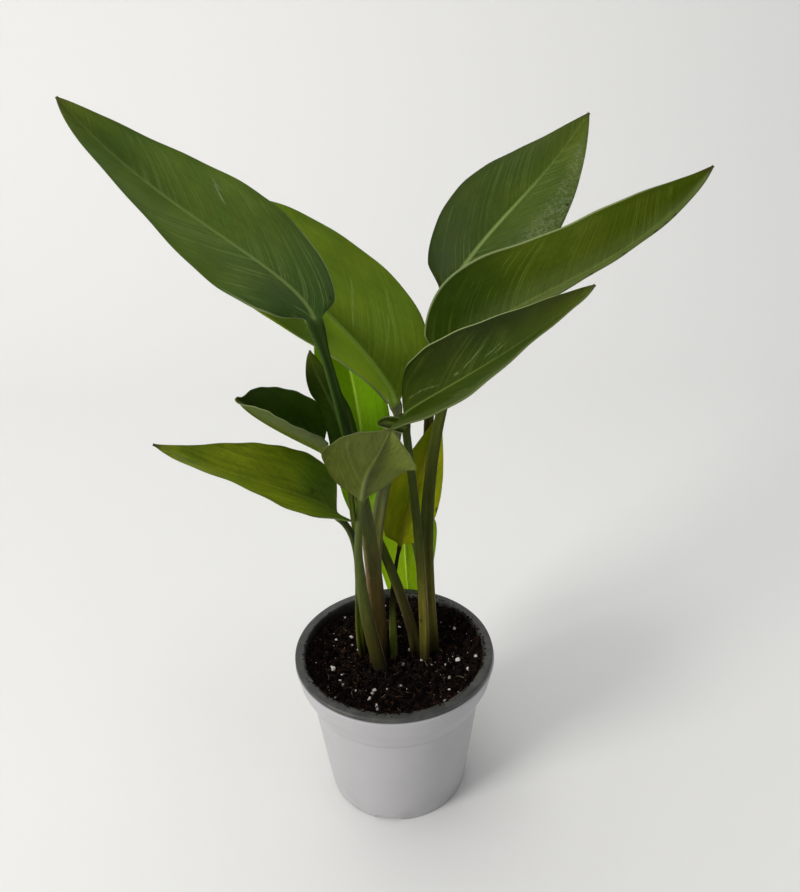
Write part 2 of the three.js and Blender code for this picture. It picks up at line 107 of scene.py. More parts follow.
class Wire:
    """A socket of a material's nodes. Sums with wires and numbers add Math nodes."""

    def __init__(self, tree, socket=None):
        self.tree = tree
        self.socket = socket

    def node(self, kind, settings=(), inputs=(), out=0):
        """Adds a node: first its settings, then the values or wires of its inputs. A colour is
        given as red, green and blue."""
        made = self.tree.nodes.new("ShaderNode" + kind)
        for name, value in dict(settings).items():
            setattr(made, name, value)
        for name, value in dict(inputs).items():
            socket = made.inputs[name]
            if isinstance(value, Wire):
                self.tree.links.new(value.socket, socket)
            else:
                socket.default_value = (*value, 1) if socket.type == "RGBA" else value
        return Wire(self.tree, made.outputs[out])

    def maths(self, operation, *values):
        """A Math node on values, or on this wire alone. The signs and abs() below use it."""
        return self.node("Math", {"operation": operation}, enumerate(values or (self,)))

    def __add__(self, other):
        return self.maths("ADD", self, other)

    def __sub__(self, other):
        return self.maths("SUBTRACT", self, other)

    def __rsub__(self, other):
        return self.maths("SUBTRACT", other, self)

    def __mul__(self, other):
        return self.maths("MULTIPLY", self, other)

    def __truediv__(self, other):
        return self.maths("DIVIDE", self, other)

    def __pow__(self, other):
        return self.maths("POWER", self, other)

    __radd__ = __add__
    __rmul__ = __mul__

    def __abs__(self):
        return self.maths("ABSOLUTE")

    def ease(self, low, high):
        """0 below low and 1 above high, with a smooth rise between them."""
        limits = {"Value": self, "From Min": low, "From Max": high}
        return self.node("MapRange", {"interpolation_type": "SMOOTHSTEP"}, limits)

    def tint(self, plain, full):
        """The colour plain where this wire is 0 and full where it is 1."""
        return self.node("Mix", {"data_type": "RGBA"}, {0: self, 6: plain, 7: full}, out=2)

    def part(self, axis):
        """The X, Y or Z of this vector."""
        return self.node("SeparateXYZ", {}, {"Vector": self}, out=axis)

    def bump(self, strength, distance):
        """A normal that this wire raises by up to distance millimetres."""
        inputs = {"Height": self, "Strength": strength, "Distance": distance * MM}
        return self.node("Bump", {}, inputs)

    def lit(self, strength):
        """This colour made lighter or darker by a wire."""
        return self.node("VectorMath", {"operation": "SCALE"}, {0: self, "Scale": strength})

    def grain(self, size, detail=2.0, rough=0.5, stretch=(1, 1, 1)):
        """Noise on this wire's point in metres, with features of about size millimetres."""
        scaled = self.node("Mapping", {}, {"Vector": self, "Scale": stretch})
        sizes = {"Vector": scaled, "Scale": 1.0 / (size * MM), "Detail": detail, "Roughness": rough}
        return self.node("TexNoise", {}, sizes)

    def noise(self, distortion=0.0):
        """Rough noise on this wire's point, with features of about one unit."""
        inputs = {"Vector": self, "Scale": 1.0, "Detail": 3.0, "Roughness": 0.6}
        return self.node("TexNoise", {}, inputs | {"Distortion": distortion})

    def streak(self, size, detail):
        """Uneven stripes across this wire, which is in millimetres, each about size wide."""
        inputs = {"W": self / size, "Scale": 1.0, "Detail": detail}
        return self.node("TexNoise", {"noise_dimensions": "1D"}, inputs)


def paint(name):
    """A new material, its Principled shader, a first wire, and a wire of the point in metres."""
    material = bpy.data.materials.new(name)
    material.use_nodes = True
    wire = Wire(material.node_tree)
    return material, wire.tree.nodes["Principled BSDF"], wire, wire.node("TexCoord", out="Object")


def join(shader, wires):
    """Links each named wire to the shader's input of that name."""
    for name, wire in wires.items():
        wire.tree.links.new(wire.socket, shader.inputs[name])


floor_run = np.linspace(-FLOOR_HALF, SWEEP_START, 24)
sweep = np.linspace(0, math.pi / 2, 25)[1:]
sweep_y = SWEEP_START + SWEEP_RADIUS * np.sin(sweep)
sweep_z = SWEEP_RADIUS * (1 - np.cos(sweep))
floor_y = np.concatenate([floor_run, sweep_y, [SWEEP_START + SWEEP_RADIUS] * 2])
floor_z = np.concatenate([0 * floor_run, sweep_z, SWEEP_HEIGHTS])
floor_x = np.linspace(-FLOOR_HALF, FLOOR_HALF, 25)
floor_sides = np.broadcast_arrays(floor_x, floor_y[:, None], floor_z[:, None])
floor_grid = np.stack(floor_sides, axis=-1)
floor_paint, floor_shader = paint("studio_paper")[:2]
floor_shader.inputs["Base Color"].default_value = (0.80, 0.80, 0.79, 1)
floor_shader.inputs["Roughness"].default_value = 0.85
place(grid_mesh("floor", floor_grid / MM), floor_paint)


# Lights. A broad soft key stands low at the front left, where the real pot's light comes from, with
# a weak fill at the right and a wide soft panel overhead.
def panel(name, at, size, power, colour=(1, 1, 1)):
    """A square soft light that faces the middle of the plant."""
    data = bpy.data.lights.new(name, "AREA")
    data.size, data.energy, data.color = size, power, colour
    light = bpy.data.objects.new(name, data)
    light.location = at
    light.rotation_euler = (Vector((0, 0, 0.2)) - Vector(at)).to_track_quat("-Z", "Y").to_euler()
    bpy.context.scene.collection.objects.link(light)


panel("key_light", (-1.75, -1.2, 0.95), 0.8, 39, (1.0, 0.97, 0.92))
panel("fill_light", (1.6, -0.9, 1.0), 1.4, 4.5, (0.96, 0.98, 1.0))
panel("top_light", (-0.3, 0.1, 2.2), 1.6, 20, (1.0, 0.99, 0.97))
world = bpy.data.worlds.new("studio_world")
bpy.context.scene.world = world
world.use_nodes = True
world.node_tree.nodes["Background"].inputs["Color"].default_value = (0.93, 0.96, 1.0, 1)
world.node_tree.nodes["Background"].inputs["Strength"].default_value = 0.24
bpy.context.scene.view_settings.view_transform = "Standard"


# Cover pot. A tapered cup of pale, slightly lilac plastic, moulded in one piece: a straight body,
# a shallow step, a flared collar and a thin lip, with four small notches in its foot.
TURN = 2 * math.pi
COVER_OUTSIDE = [
    (0.4, 0), (41.9, 0), (42.5, 0.3), (42.75, 1.0), (43.1, 2.8), (44, 8), (50.8, 64), (51.5, 68),
    (51.85, 71.1), (52.0, 71.5), (52.7, 71.8), (52.9, 72.4), (53.2, 73.6), (54.3, 76),
    (56.3, 80.5), (58.2, 85), (60.2, 94.6), (60.4, 95.2), (60.4, 96.3), (60, 96.8),
]
COVER_INSIDE = [
    (58.6, 96.8), (56.4, 85), (54.5, 80.5), (52.5, 76), (50.8, 71.5), (49.9, 68), (49.5, 64.5),
    (49, 64), (42.2, 8), (40.8, 2.6), (0.4, 2.6),
]
POT_STEP = 1.6
POT_COLUMNS = 176
NOTCH_ANGLES = np.radians([-100, -10, 80, 170])
NOTCH_HALF = 7.5
NOTCH_HEIGHT = 2.3
NOTCH_INSIDE = 38.6
COLLAR_STEP = 71.2 * MM
DUST_HEIGHT = 20 * MM
COVER_COLOUR = (0.418, 0.412, 0.431)
# The grey below is dust on the foot and in patches, and also a painted shade line at the collar's
# step.
COVER_DUST_AND_SHADE = (0.33, 0.32, 0.32)


def fine_profile(points, step):
    """A profile of radius and height, with each stretch between two of its corners cut into equal
    parts no longer than step."""
    points = np.array(points, float)
    cuts = np.ceil(np.hypot(*np.diff(points, axis=0).T) / step).astype(int)
    parts = [np.linspace(a, b, cut, endpoint=False) for a, b, cut in zip(points, points[1:], cuts)]
    return np.concatenate(parts + [points[-1:]])


def turned(profile, columns):
    """The surface of a profile turned about Z: x = r cos a, y = r sin a, z = h."""
    angle = np.linspace(0, TURN, columns, endpoint=False)
    radius, height = profile[:, :1], profile[:, 1:]
    return np.stack([radius * np.cos(angle), radius * np.sin(angle), height + 0 * angle], axis=-1)


cover_grid = turned(fine_profile(COVER_OUTSIDE + COVER_INSIDE, POT_STEP), POT_COLUMNS)
x, y, z = np.moveaxis(cover_grid, -1, 0)
bearing, reach = np.arctan2(y, x), np.hypot(x, y)
off = np.abs((bearing[..., None] - NOTCH_ANGLES + math.pi) % TURN - math.pi).min(axis=-1)
z[(off * reach < NOTCH_HALF) & (reach > NOTCH_INSIDE) & (z < NOTCH_HEIGHT)] = NOTCH_HEIGHT

cover_paint, shader, _, point = paint("pale_plastic")
cloud = point.grain(22, 3)
speck = point.grain(1.1, 2, 0.6)
height = point.part("Z")
dusty = (1 - height.ease(0.0, DUST_HEIGHT)) * cloud.ease(0.45, 0.7)
# A painted shade line darkens the collar's step.
step_shade = 1 - abs(height - COLLAR_STEP).ease(0.2 * MM, 1.6 * MM)
scuff = speck.ease(0.62, 0.8) * cloud.ease(0.5, 0.7)
soiled_and_shaded = dusty * 0.5 + cloud.ease(0.4, 0.75) * 0.15 + step_shade * 0.65 + scuff * 0.3
join(shader, {
    "Base Color": soiled_and_shaded.tint(COVER_COLOUR, COVER_DUST_AND_SHADE),
    "Roughness": cloud * 0.12 + 0.42,
    "Normal": speck.bump(0.05, 0.2),
})
cover_mesh = grid_mesh("cover_pot_shell", cover_grid, wrap=True, caps=True)
place(cover_mesh, cover_paint, "cover_pot", "cover_pot")


# Nursery pot. A thin pot of dark recycled plastic, vacuum formed, that hangs in the cover pot by
# its flat rim. Its rim and inner wall are scuffed and dusty with soil.
NURSERY_PROFILE = [
    (0.4, 6), (39.6, 6), (40.6, 7), (48.2, 66), (55.2, 97.1), (59.5, 97.1), (59.9, 97.3),
    (60, 97.7), (60, 99.1), (59.85, 99.6), (59.4, 99.9), (55, 99.9), (54.55, 99.75),
    (54.4, 99.4), (47, 66), (39.6, 7.4), (0.4, 7.4),
]
NURSERY_SHIFT = (-0.3, 0.3, 0.0)
DRAIN_COUNT = 6
DRAIN_RING = 28.0
DRAIN_RADIUS = 4.0
DRILL_FOOT, DRILL_TOP = 4.0, 9.0
BELOW_RIM, ON_RIM = np.array([(96.5, 98.8), (98.5, 99.5)]) * MM
WALL_EDGE, INNER_EDGE = np.array([(57.2, 58.8), (56.5, 58.5)]) * MM
NURSERY_COLOUR = (0.034, 0.036, 0.033)
NURSERY_SCUFF = (0.075, 0.076, 0.068)
# This brown is soil dust on the nursery pot, and also painted shade at the foot of each stalk.
SOIL_DUST_AND_SHADE = (0.012, 0.008, 0.004)

nursery_grid = turned(fine_profile(NURSERY_PROFILE, POT_STEP), POT_COLUMNS) + NURSERY_SHIFT
nursery_paint, shader, _, point = paint("dark_plastic")
cloud = point.grain(9, 4, 0.6)
fleck = point.grain(1.6, 3, 0.7)
up_pot = point.part("Z")
flat = point.node("VectorMath", {"operation": "MULTIPLY"}, {0: point, 1: (1, 1, 0)})
from_axis = flat.node("VectorMath", {"operation": "LENGTH"}, {0: flat}, out="Value")
on_wall = (1 - up_pot.ease(*BELOW_RIM)) * (1 - from_axis.ease(*WALL_EDGE))
inner_rim = (1 - (from_axis + cloud * (3 * MM)).ease(*INNER_EDGE)) * up_pot.ease(*ON_RIM)
specks = fleck.ease(0.53, 0.66) * (on_wall * 0.6 + 0.2)
smears = on_wall * (cloud.ease(0.34, 0.55) * 0.5 + 0.35)
dirt = specks + smears + inner_rim * fleck.ease(0.42, 0.64) * 0.4
scuffed = cloud.ease(0.40, 0.66) * 0.7
clean = scuffed.tint(NURSERY_COLOUR, NURSERY_SCUFF)
join(shader, {
    "Base Color": dirt.maths("MINIMUM", dirt, 1.0).tint(clean, SOIL_DUST_AND_SHADE),
    "Roughness": cloud * 0.2 + 0.38,
    "Normal": fleck.bump(0.2, 0.2),
})
nursery_mesh = grid_mesh("nursery_pot_shell", nursery_grid, wrap=True, caps=True)
nursery = place(nursery_mesh, nursery_paint, "nursery_pot", "nursery_pot")

drill_profile = np.array([(DRAIN_RADIUS, DRILL_FOOT), (DRAIN_RADIUS, DRILL_TOP)])
drill_angle = np.arange(DRAIN_COUNT) * TURN / DRAIN_COUNT
drill_ring = [np.cos(drill_angle), np.sin(drill_angle), 0 * drill_angle]
drill_at = DRAIN_RING * np.stack(drill_ring, axis=1)
drills = [turned(drill_profile, 20) + at for at in drill_at]
drill = bpy.data.objects.new("drill", grid_mesh("drill", *drills, wrap=True, caps=True))
bpy.context.scene.collection.objects.link(drill)
cut = nursery.modifiers.new("drain_holes", "BOOLEAN")
cut.operation, cut.object, cut.solver = "DIFFERENCE", drill, "EXACT"
bpy.context.view_layer.update()
drilled = nursery.evaluated_get(bpy.context.evaluated_depsgraph_get())
nursery.data = bpy.data.meshes.new_from_object(drilled)
nursery.modifiers.clear()
bpy.data.objects.remove(drill)


# Soil. Moist fibrous peat fills the nursery pot to a finger's width under its rim. Crumbs, bits of
# root and white perlite lie loose on top, and some crumbs have fallen on the rim.
SOIL_TOP = 92.0
SOIL_FLOOR = 7.7
SOIL_RELIEF = 1.3
SOIL_EDGE = 52.4
SOIL_CLIMB, CLIMB_START = 3.4, 43.0
BARE_AT, HEAP_AT, HEAP = 2.1, 0.8, 2.0
SOIL_WALL = [(0.4, SOIL_FLOOR), (39.0, SOIL_FLOOR), (46.4, 66), (SOIL_EDGE - 0.6, 90.0)]
SOIL_ROWS = 190
SOIL_COLUMNS = 300
WAVES = 60
CLOD_COUNT = 520
CRUMB_COUNT = 5600
PERLITE_COUNT = 120
PERLITE_CHIPS = np.array([
    (-37.0, -10), (-31, -22), (-12, -28), (-27, 19), (-22, 7),
    (9, 6), (5, -6), (38, -4), (44, -12), (38, 24),
])
PERLITE_LOBES = 50
WALL_CRUMBS, RIM_CRUMBS = 620, 420
WALL_RADIUS, WALL_TOP, WALL_SLOPE, WALL_LIMIT = 54.3, 99.4, 0.2216, 98.8
RIM_INNER, RIM_OUTER, RIM_TOP = 54.5, 59.2, 99.85
GRAIN_EDGE, CRUMB_EDGE, FIBRE_EDGE = 51.0, 52.2, 47.0
FIBRE_COUNT = 230
SOIL_COLOUR = (0.0030, 0.0014, 0.0010)
SOIL_LIGHT = (0.060, 0.024, 0.011)
PERLITE_COLOUR = (0.76, 0.73, 0.68)
PERLITE_DUSTY = (0.24, 0.20, 0.155)
FIBRE_DARK = (0.045, 0.022, 0.010)
FIBRE_PALE = (0.33, 0.25, 0.16)
draw = np.random.default_rng(27)
clod_angle = draw.uniform(0, math.pi, WAVES)
clod_pitch = TURN / draw.uniform(1.6, 9.0, WAVES)
clod_start = draw.uniform(0, TURN, WAVES)


def soil_height(x, y):
    """The soil's top at x, y: the solid's slow waves, many short waves of 1.6 to 9 mm in all
    directions, and an uneven climb up the pot's wall, least at the back left and most at the
    back right."""
    slow = 0.45 * np.sin(0.23 * x + 0.6) * np.cos(0.19 * y - 0.4)
    slow = slow + 0.3 * (np.sin(0.71 * x - 0.5 * y) + np.cos(0.63 * y + 0.37 * x + 1.1))
    across = x[..., None] * np.cos(clod_angle) + y[..., None] * np.sin(clod_angle)
    short = (np.sin(across * clod_pitch + clod_start) / clod_pitch**0.7).sum(axis=-1) * 0.16
    angle = np.arctan2(y, x)
    bare = np.exp(-(((angle - BARE_AT) / 0.55) ** 2))
    heap = HEAP * np.exp(-(((angle - HEAP_AT) / 0.6) ** 2))
    uneven = 0.5 * np.sin(5 * angle + 1) + 0.4 * np.sin(12 * angle)
    pile = SOIL_CLIMB * (1 - 0.9 * bare) + heap + uneven
    near = np.clip((np.hypot(x, y) - CLIMB_START) / (SOIL_EDGE - CLIMB_START), 0, 1)
    return SOIL_TOP + SOIL_RELIEF * slow + short + pile * near**2 * (3 - 2 * near)


def speckled(name, dark, light, size, rough):
    """A dull material between two colours: each grain has its own shade, and noise varies it."""
    material, shader, wire, point = paint(name)
    shade = wire.node("Attribute", {"attribute_name": "shade"}, out="Fac")
    mottle = (point.grain(size, 3, 0.65) - 0.5) * 0.9 + shade
    join(shader, {
        "Base Color": mottle.ease(0.05, 0.95).tint(dark, light),
        "Normal": point.grain(size / 2, 3, 0.7).bump(0.7, 0.4),
    })
    shader.inputs["Roughness"].default_value = rough
    shader.inputs["Specular IOR Level"].default_value = 0.12
    return material


def shaded(mesh, shade):
    """The mesh, with each point's own shade."""
    mesh.attributes.new("shade", "FLOAT", "POINT").data.foreach_set("value", shade.ravel())
    return mesh


soil_rim = fine_profile(SOIL_WALL, 6)
soil_disc = np.stack([np.linspace(SOIL_EDGE, 0.4, SOIL_ROWS), np.full(SOIL_ROWS, SOIL_TOP)], axis=1)
soil_grid = turned(np.concatenate([soil_rim[:-1], soil_disc]), SOIL_COLUMNS)
top_rows = soil_grid[len(soil_rim) - 1:]
top_rows[..., 2] = soil_height(top_rows[..., 0], top_rows[..., 1])
from_middle = np.hypot(top_rows[..., :1], top_rows[..., 1:2])
climb = top_rows[..., 2:] - SOIL_TOP
top_rows[..., :2] *= 1 + np.clip((from_middle - 40) / 12, 0, 1) * 0.004 * climb
soil_shade = np.full(soil_grid.shape[:2], 0.1)
soil_shade[len(soil_rim) - 1:] = 0.02 + 0.03 * (top_rows[..., 2] - SOIL_TOP)
peat = speckled("peat", SOIL_COLOUR, SOIL_LIGHT, 1.8, 0.95)
soil_mesh = grid_mesh("peat_bed", soil_grid + NURSERY_SHIFT, wrap=True, caps=True)
place(shaded(soil_mesh, soil_shade), peat, "soil", "soil")


def pebbles(name, centres, sizes, rings, sides, lumps):
    """Small closed lumps, all in one mesh: each is a globe of rings by sides, pulled in and out at
    random by the share lumps, squashed, and turned about Z."""
    count = len(centres)
    latitude = np.linspace(0, math.pi, rings + 2)[1:-1]
    longitude = np.linspace(0, TURN, sides, endpoint=False)
    flat = [np.outer(np.sin(latitude), f(longitude)) for f in (np.cos, np.sin)]
    ring = np.stack([*flat, np.outer(np.cos(latitude), np.ones(sides))], axis=-1).reshape(-1, 3)
    globe = np.concatenate([[(0, 0, 1)], ring, [(0, 0, -1)]])
    bumps = 1 + lumps * draw.uniform(-1, 1, (count, len(globe), 1))
    squash = draw.uniform(0.6, 1.1, (count, 1, 3)) * (1, 1, 0.8)
    lump = globe * bumps * squash * sizes[:, None, None]
    turn = draw.uniform(0, TURN, (count, 1))
    x = lump[..., 0] * np.cos(turn) - lump[..., 1] * np.sin(turn)
    y = lump[..., 0] * np.sin(turn) + lump[..., 1] * np.cos(turn)
    points = np.stack([x, y, lump[..., 2]], axis=-1) + centres[:, None]
    body = 1 + np.arange(rings * sides).reshape(rings, sides)
    around = np.roll(body, -1, axis=1)
    last = len(globe) - 1
    quads = np.stack([body[:-1], body[1:], around[1:], around[:-1]], axis=-1).reshape(-1, 4)
    cap = np.stack([np.zeros(sides, int), body[0], around[0]], axis=-1)
    foot = np.stack([np.full(sides, last), around[-1], body[-1]], axis=-1)
    shift = np.arange(count)[:, None, None] * len(globe)
    faces = (quads + shift).reshape(-1, 4).tolist()
    faces += (np.concatenate([cap, foot]) + shift).reshape(-1, 3).tolist()
    mesh = bpy.data.meshes.new(name)
    mesh.from_pydata(points.reshape(-1, 3) * MM, [], faces)
    return mesh, len(globe)


def strewn(count, edge, lift, sizes):
    """Places on the soil, evenly spread inside edge, each lifted by a share of its size."""
    away = edge * np.sqrt(draw.uniform(0, 1, count))
    angle = draw.uniform(0, TURN, count)
    x, y = away * np.cos(angle), away * np.sin(angle)
    return np.stack([x, y, soil_height(x, y) + lift * sizes], axis=-1) + NURSERY_SHIFT


def lay(grains, shade, material):
    """Puts a mesh of like grains on the soil, each of them with its own shade."""
    mesh, corners = grains
    place(shaded(mesh, np.repeat(shade, corners)), material, "soil")


clod_sizes = draw.uniform(0.7, 1.7, CLOD_COUNT)
clod_places = strewn(CLOD_COUNT, GRAIN_EDGE, 0.05, clod_sizes)
clods = pebbles("peat_clods", clod_places, clod_sizes, 4, 8, 0.24)
lay(clods, draw.beta(1.0, 4.0, CLOD_COUNT) * 0.7, peat)

crumb_sizes = draw.uniform(0.28, 0.75, CRUMB_COUNT) ** 1.3 * 1.25
crumb_places = strewn(CRUMB_COUNT, CRUMB_EDGE, 0.35, crumb_sizes)
crumb_places += draw.uniform(0, 0.7, (CRUMB_COUNT, 1)) * (0, 0, 1)
crumbs = pebbles("peat_crumbs", crumb_places, crumb_sizes, 2, 5, 0.4)
is_pale = draw.uniform(0, 1, CRUMB_COUNT) < 0.2
pale, dark = draw.uniform(0.3, 0.9, CRUMB_COUNT), draw.beta(1.0, 6.0, CRUMB_COUNT)
lay(crumbs, np.where(is_pale, pale, dark), peat)

perlite_sizes = 0.26 + 0.95 * draw.uniform(0, 1, PERLITE_COUNT) ** 2.6
perlite_places = strewn(PERLITE_COUNT, GRAIN_EDGE, 0.6, perlite_sizes) + (0, 0, 0.3)
chips = len(PERLITE_CHIPS)
perlite_sizes[:chips] = draw.uniform(1.1, 1.65, chips)
perlite_places[:chips, :2] = PERLITE_CHIPS
perlite_places[:chips, 2] = soil_height(*PERLITE_CHIPS.T) + 0.9
beside = draw.uniform(-0.9, 0.9, (PERLITE_LOBES, 3)) * (1, 1, 0.4)
lobes = perlite_places[:PERLITE_LOBES] + beside * perlite_sizes[:PERLITE_LOBES, None]
perlite_sizes = np.concatenate([perlite_sizes, perlite_sizes[:PERLITE_LOBES] * 0.7])
perlite_places = np.concatenate([perlite_places, lobes])
perlite = pebbles("perlite", perlite_places, perlite_sizes, 3, 6, 0.34)
perlite_shade = draw.uniform(0.25, 1, PERLITE_COUNT)
perlite_shade = np.concatenate([perlite_shade, perlite_shade[:PERLITE_LOBES]])
lay(perlite, perlite_shade, speckled("perlite", PERLITE_DUSTY, PERLITE_COLOUR, 0.6, 0.9))

wall_angle = draw.uniform(0, TURN, WALL_CRUMBS)
wall_climb = draw.beta(1.0, 3.0, WALL_CRUMBS) * 4.0
wall_sizes = draw.uniform(0.22, 0.7, WALL_CRUMBS) * (1.1 - 0.2 * wall_climb)
wall_foot = soil_height(SOIL_EDGE * np.cos(wall_angle), SOIL_EDGE * np.sin(wall_angle))
wall_high = np.minimum(wall_foot + wall_climb, WALL_LIMIT)
wall_away = WALL_RADIUS - (WALL_TOP - wall_high) * WALL_SLOPE - 0.5 * wall_sizes
in_front = draw.uniform(0, 1, RIM_CRUMBS) < 0.6
front, right_side = draw.normal(-1.9, 0.75, RIM_CRUMBS), draw.uniform(-0.4, 1.7, RIM_CRUMBS)
rim_angle = np.where(in_front, front, right_side)
rim_away = RIM_INNER + draw.exponential(0.8, RIM_CRUMBS)
rim_away = np.minimum(rim_away + (draw.uniform(0, 1, RIM_CRUMBS) < 0.06) * 2.5, RIM_OUTER)
rim_sizes = draw.uniform(0.2, 0.85, RIM_CRUMBS) * np.where(rim_away < 55.6, 1, 0.55)
angle = np.concatenate([wall_angle, rim_angle])
away = np.concatenate([wall_away, rim_away])
high = np.concatenate([wall_high, RIM_TOP + 0.25 * rim_sizes])
loose_places = np.stack([away * np.cos(angle), away * np.sin(angle), high], axis=-1) + NURSERY_SHIFT
loose_sizes = np.concatenate([wall_sizes, rim_sizes])
rim_crumbs = pebbles("rim_crumbs", loose_places, loose_sizes, 2, 5, 0.4)
lay(rim_crumbs, draw.beta(1.2, 4.0, WALL_CRUMBS + RIM_CRUMBS), peat)


def threads(name, starts, lengths, radii, steps=9, sides=4):
    """Thin bent tubes in one mesh. Each runs level from its start and bows sideways and up, by
    p = start + along s + side (bow s (1 - s)) + up (arch s (1 - s)), with round sections."""
    count = len(starts)
    heading = draw.uniform(0, TURN, count)
    along = np.stack([np.cos(heading), np.sin(heading), 0 * heading], axis=-1)
    side = np.stack([-np.sin(heading), np.cos(heading), 0 * heading], axis=-1)
    s = np.linspace(0, 1, steps)[None, :, None]
    bow = draw.uniform(-1.6, 1.6, (count, 1, 1)) * lengths[:, None, None]
    arch = draw.uniform(0.1, 0.8, (count, 1, 1)) * lengths[:, None, None] ** 0.5
    up = np.array([0, 0, 1.0])
    path = starts[:, None] + along[:, None] * lengths[:, None, None] * s
    path = path + side[:, None] * bow * s * (1 - s) + up * arch * s * (1 - s)
    path = path + side[:, None] * 0.25 * np.sin(9 * s + bow)
    turn = np.linspace(0, TURN, sides, endpoint=False)
    ring = side[:, None, None] * np.cos(turn)[:, None] + up * np.sin(turn)[:, None]
    width = radii[:, None, None, None] * (1 - 0.7 * s[..., None])
    points = path[:, :, None] + ring * width
    mesh = grid_mesh(name, *points, wrap=True, caps=True)
    mesh.shade_flat()
    return mesh, steps * sides


fibre_radii = draw.uniform(0.07, 0.2, FIBRE_COUNT)
fibre_starts = strewn(FIBRE_COUNT, FIBRE_EDGE, 0.0, fibre_radii) + (0, 0, 0.25)
fibres = threads("root_fibres", fibre_starts, draw.uniform(2, 9, FIBRE_COUNT), fibre_radii)
is_pale = draw.uniform(0, 1, FIBRE_COUNT) < 0.12
fibre_shade = np.where(is_pale, 0.9, draw.uniform(0, 0.3, FIBRE_COUNT))
lay(fibres, fibre_shade, speckled("root_fibre", FIBRE_DARK, FIBRE_PALE, 1.0, 0.8))


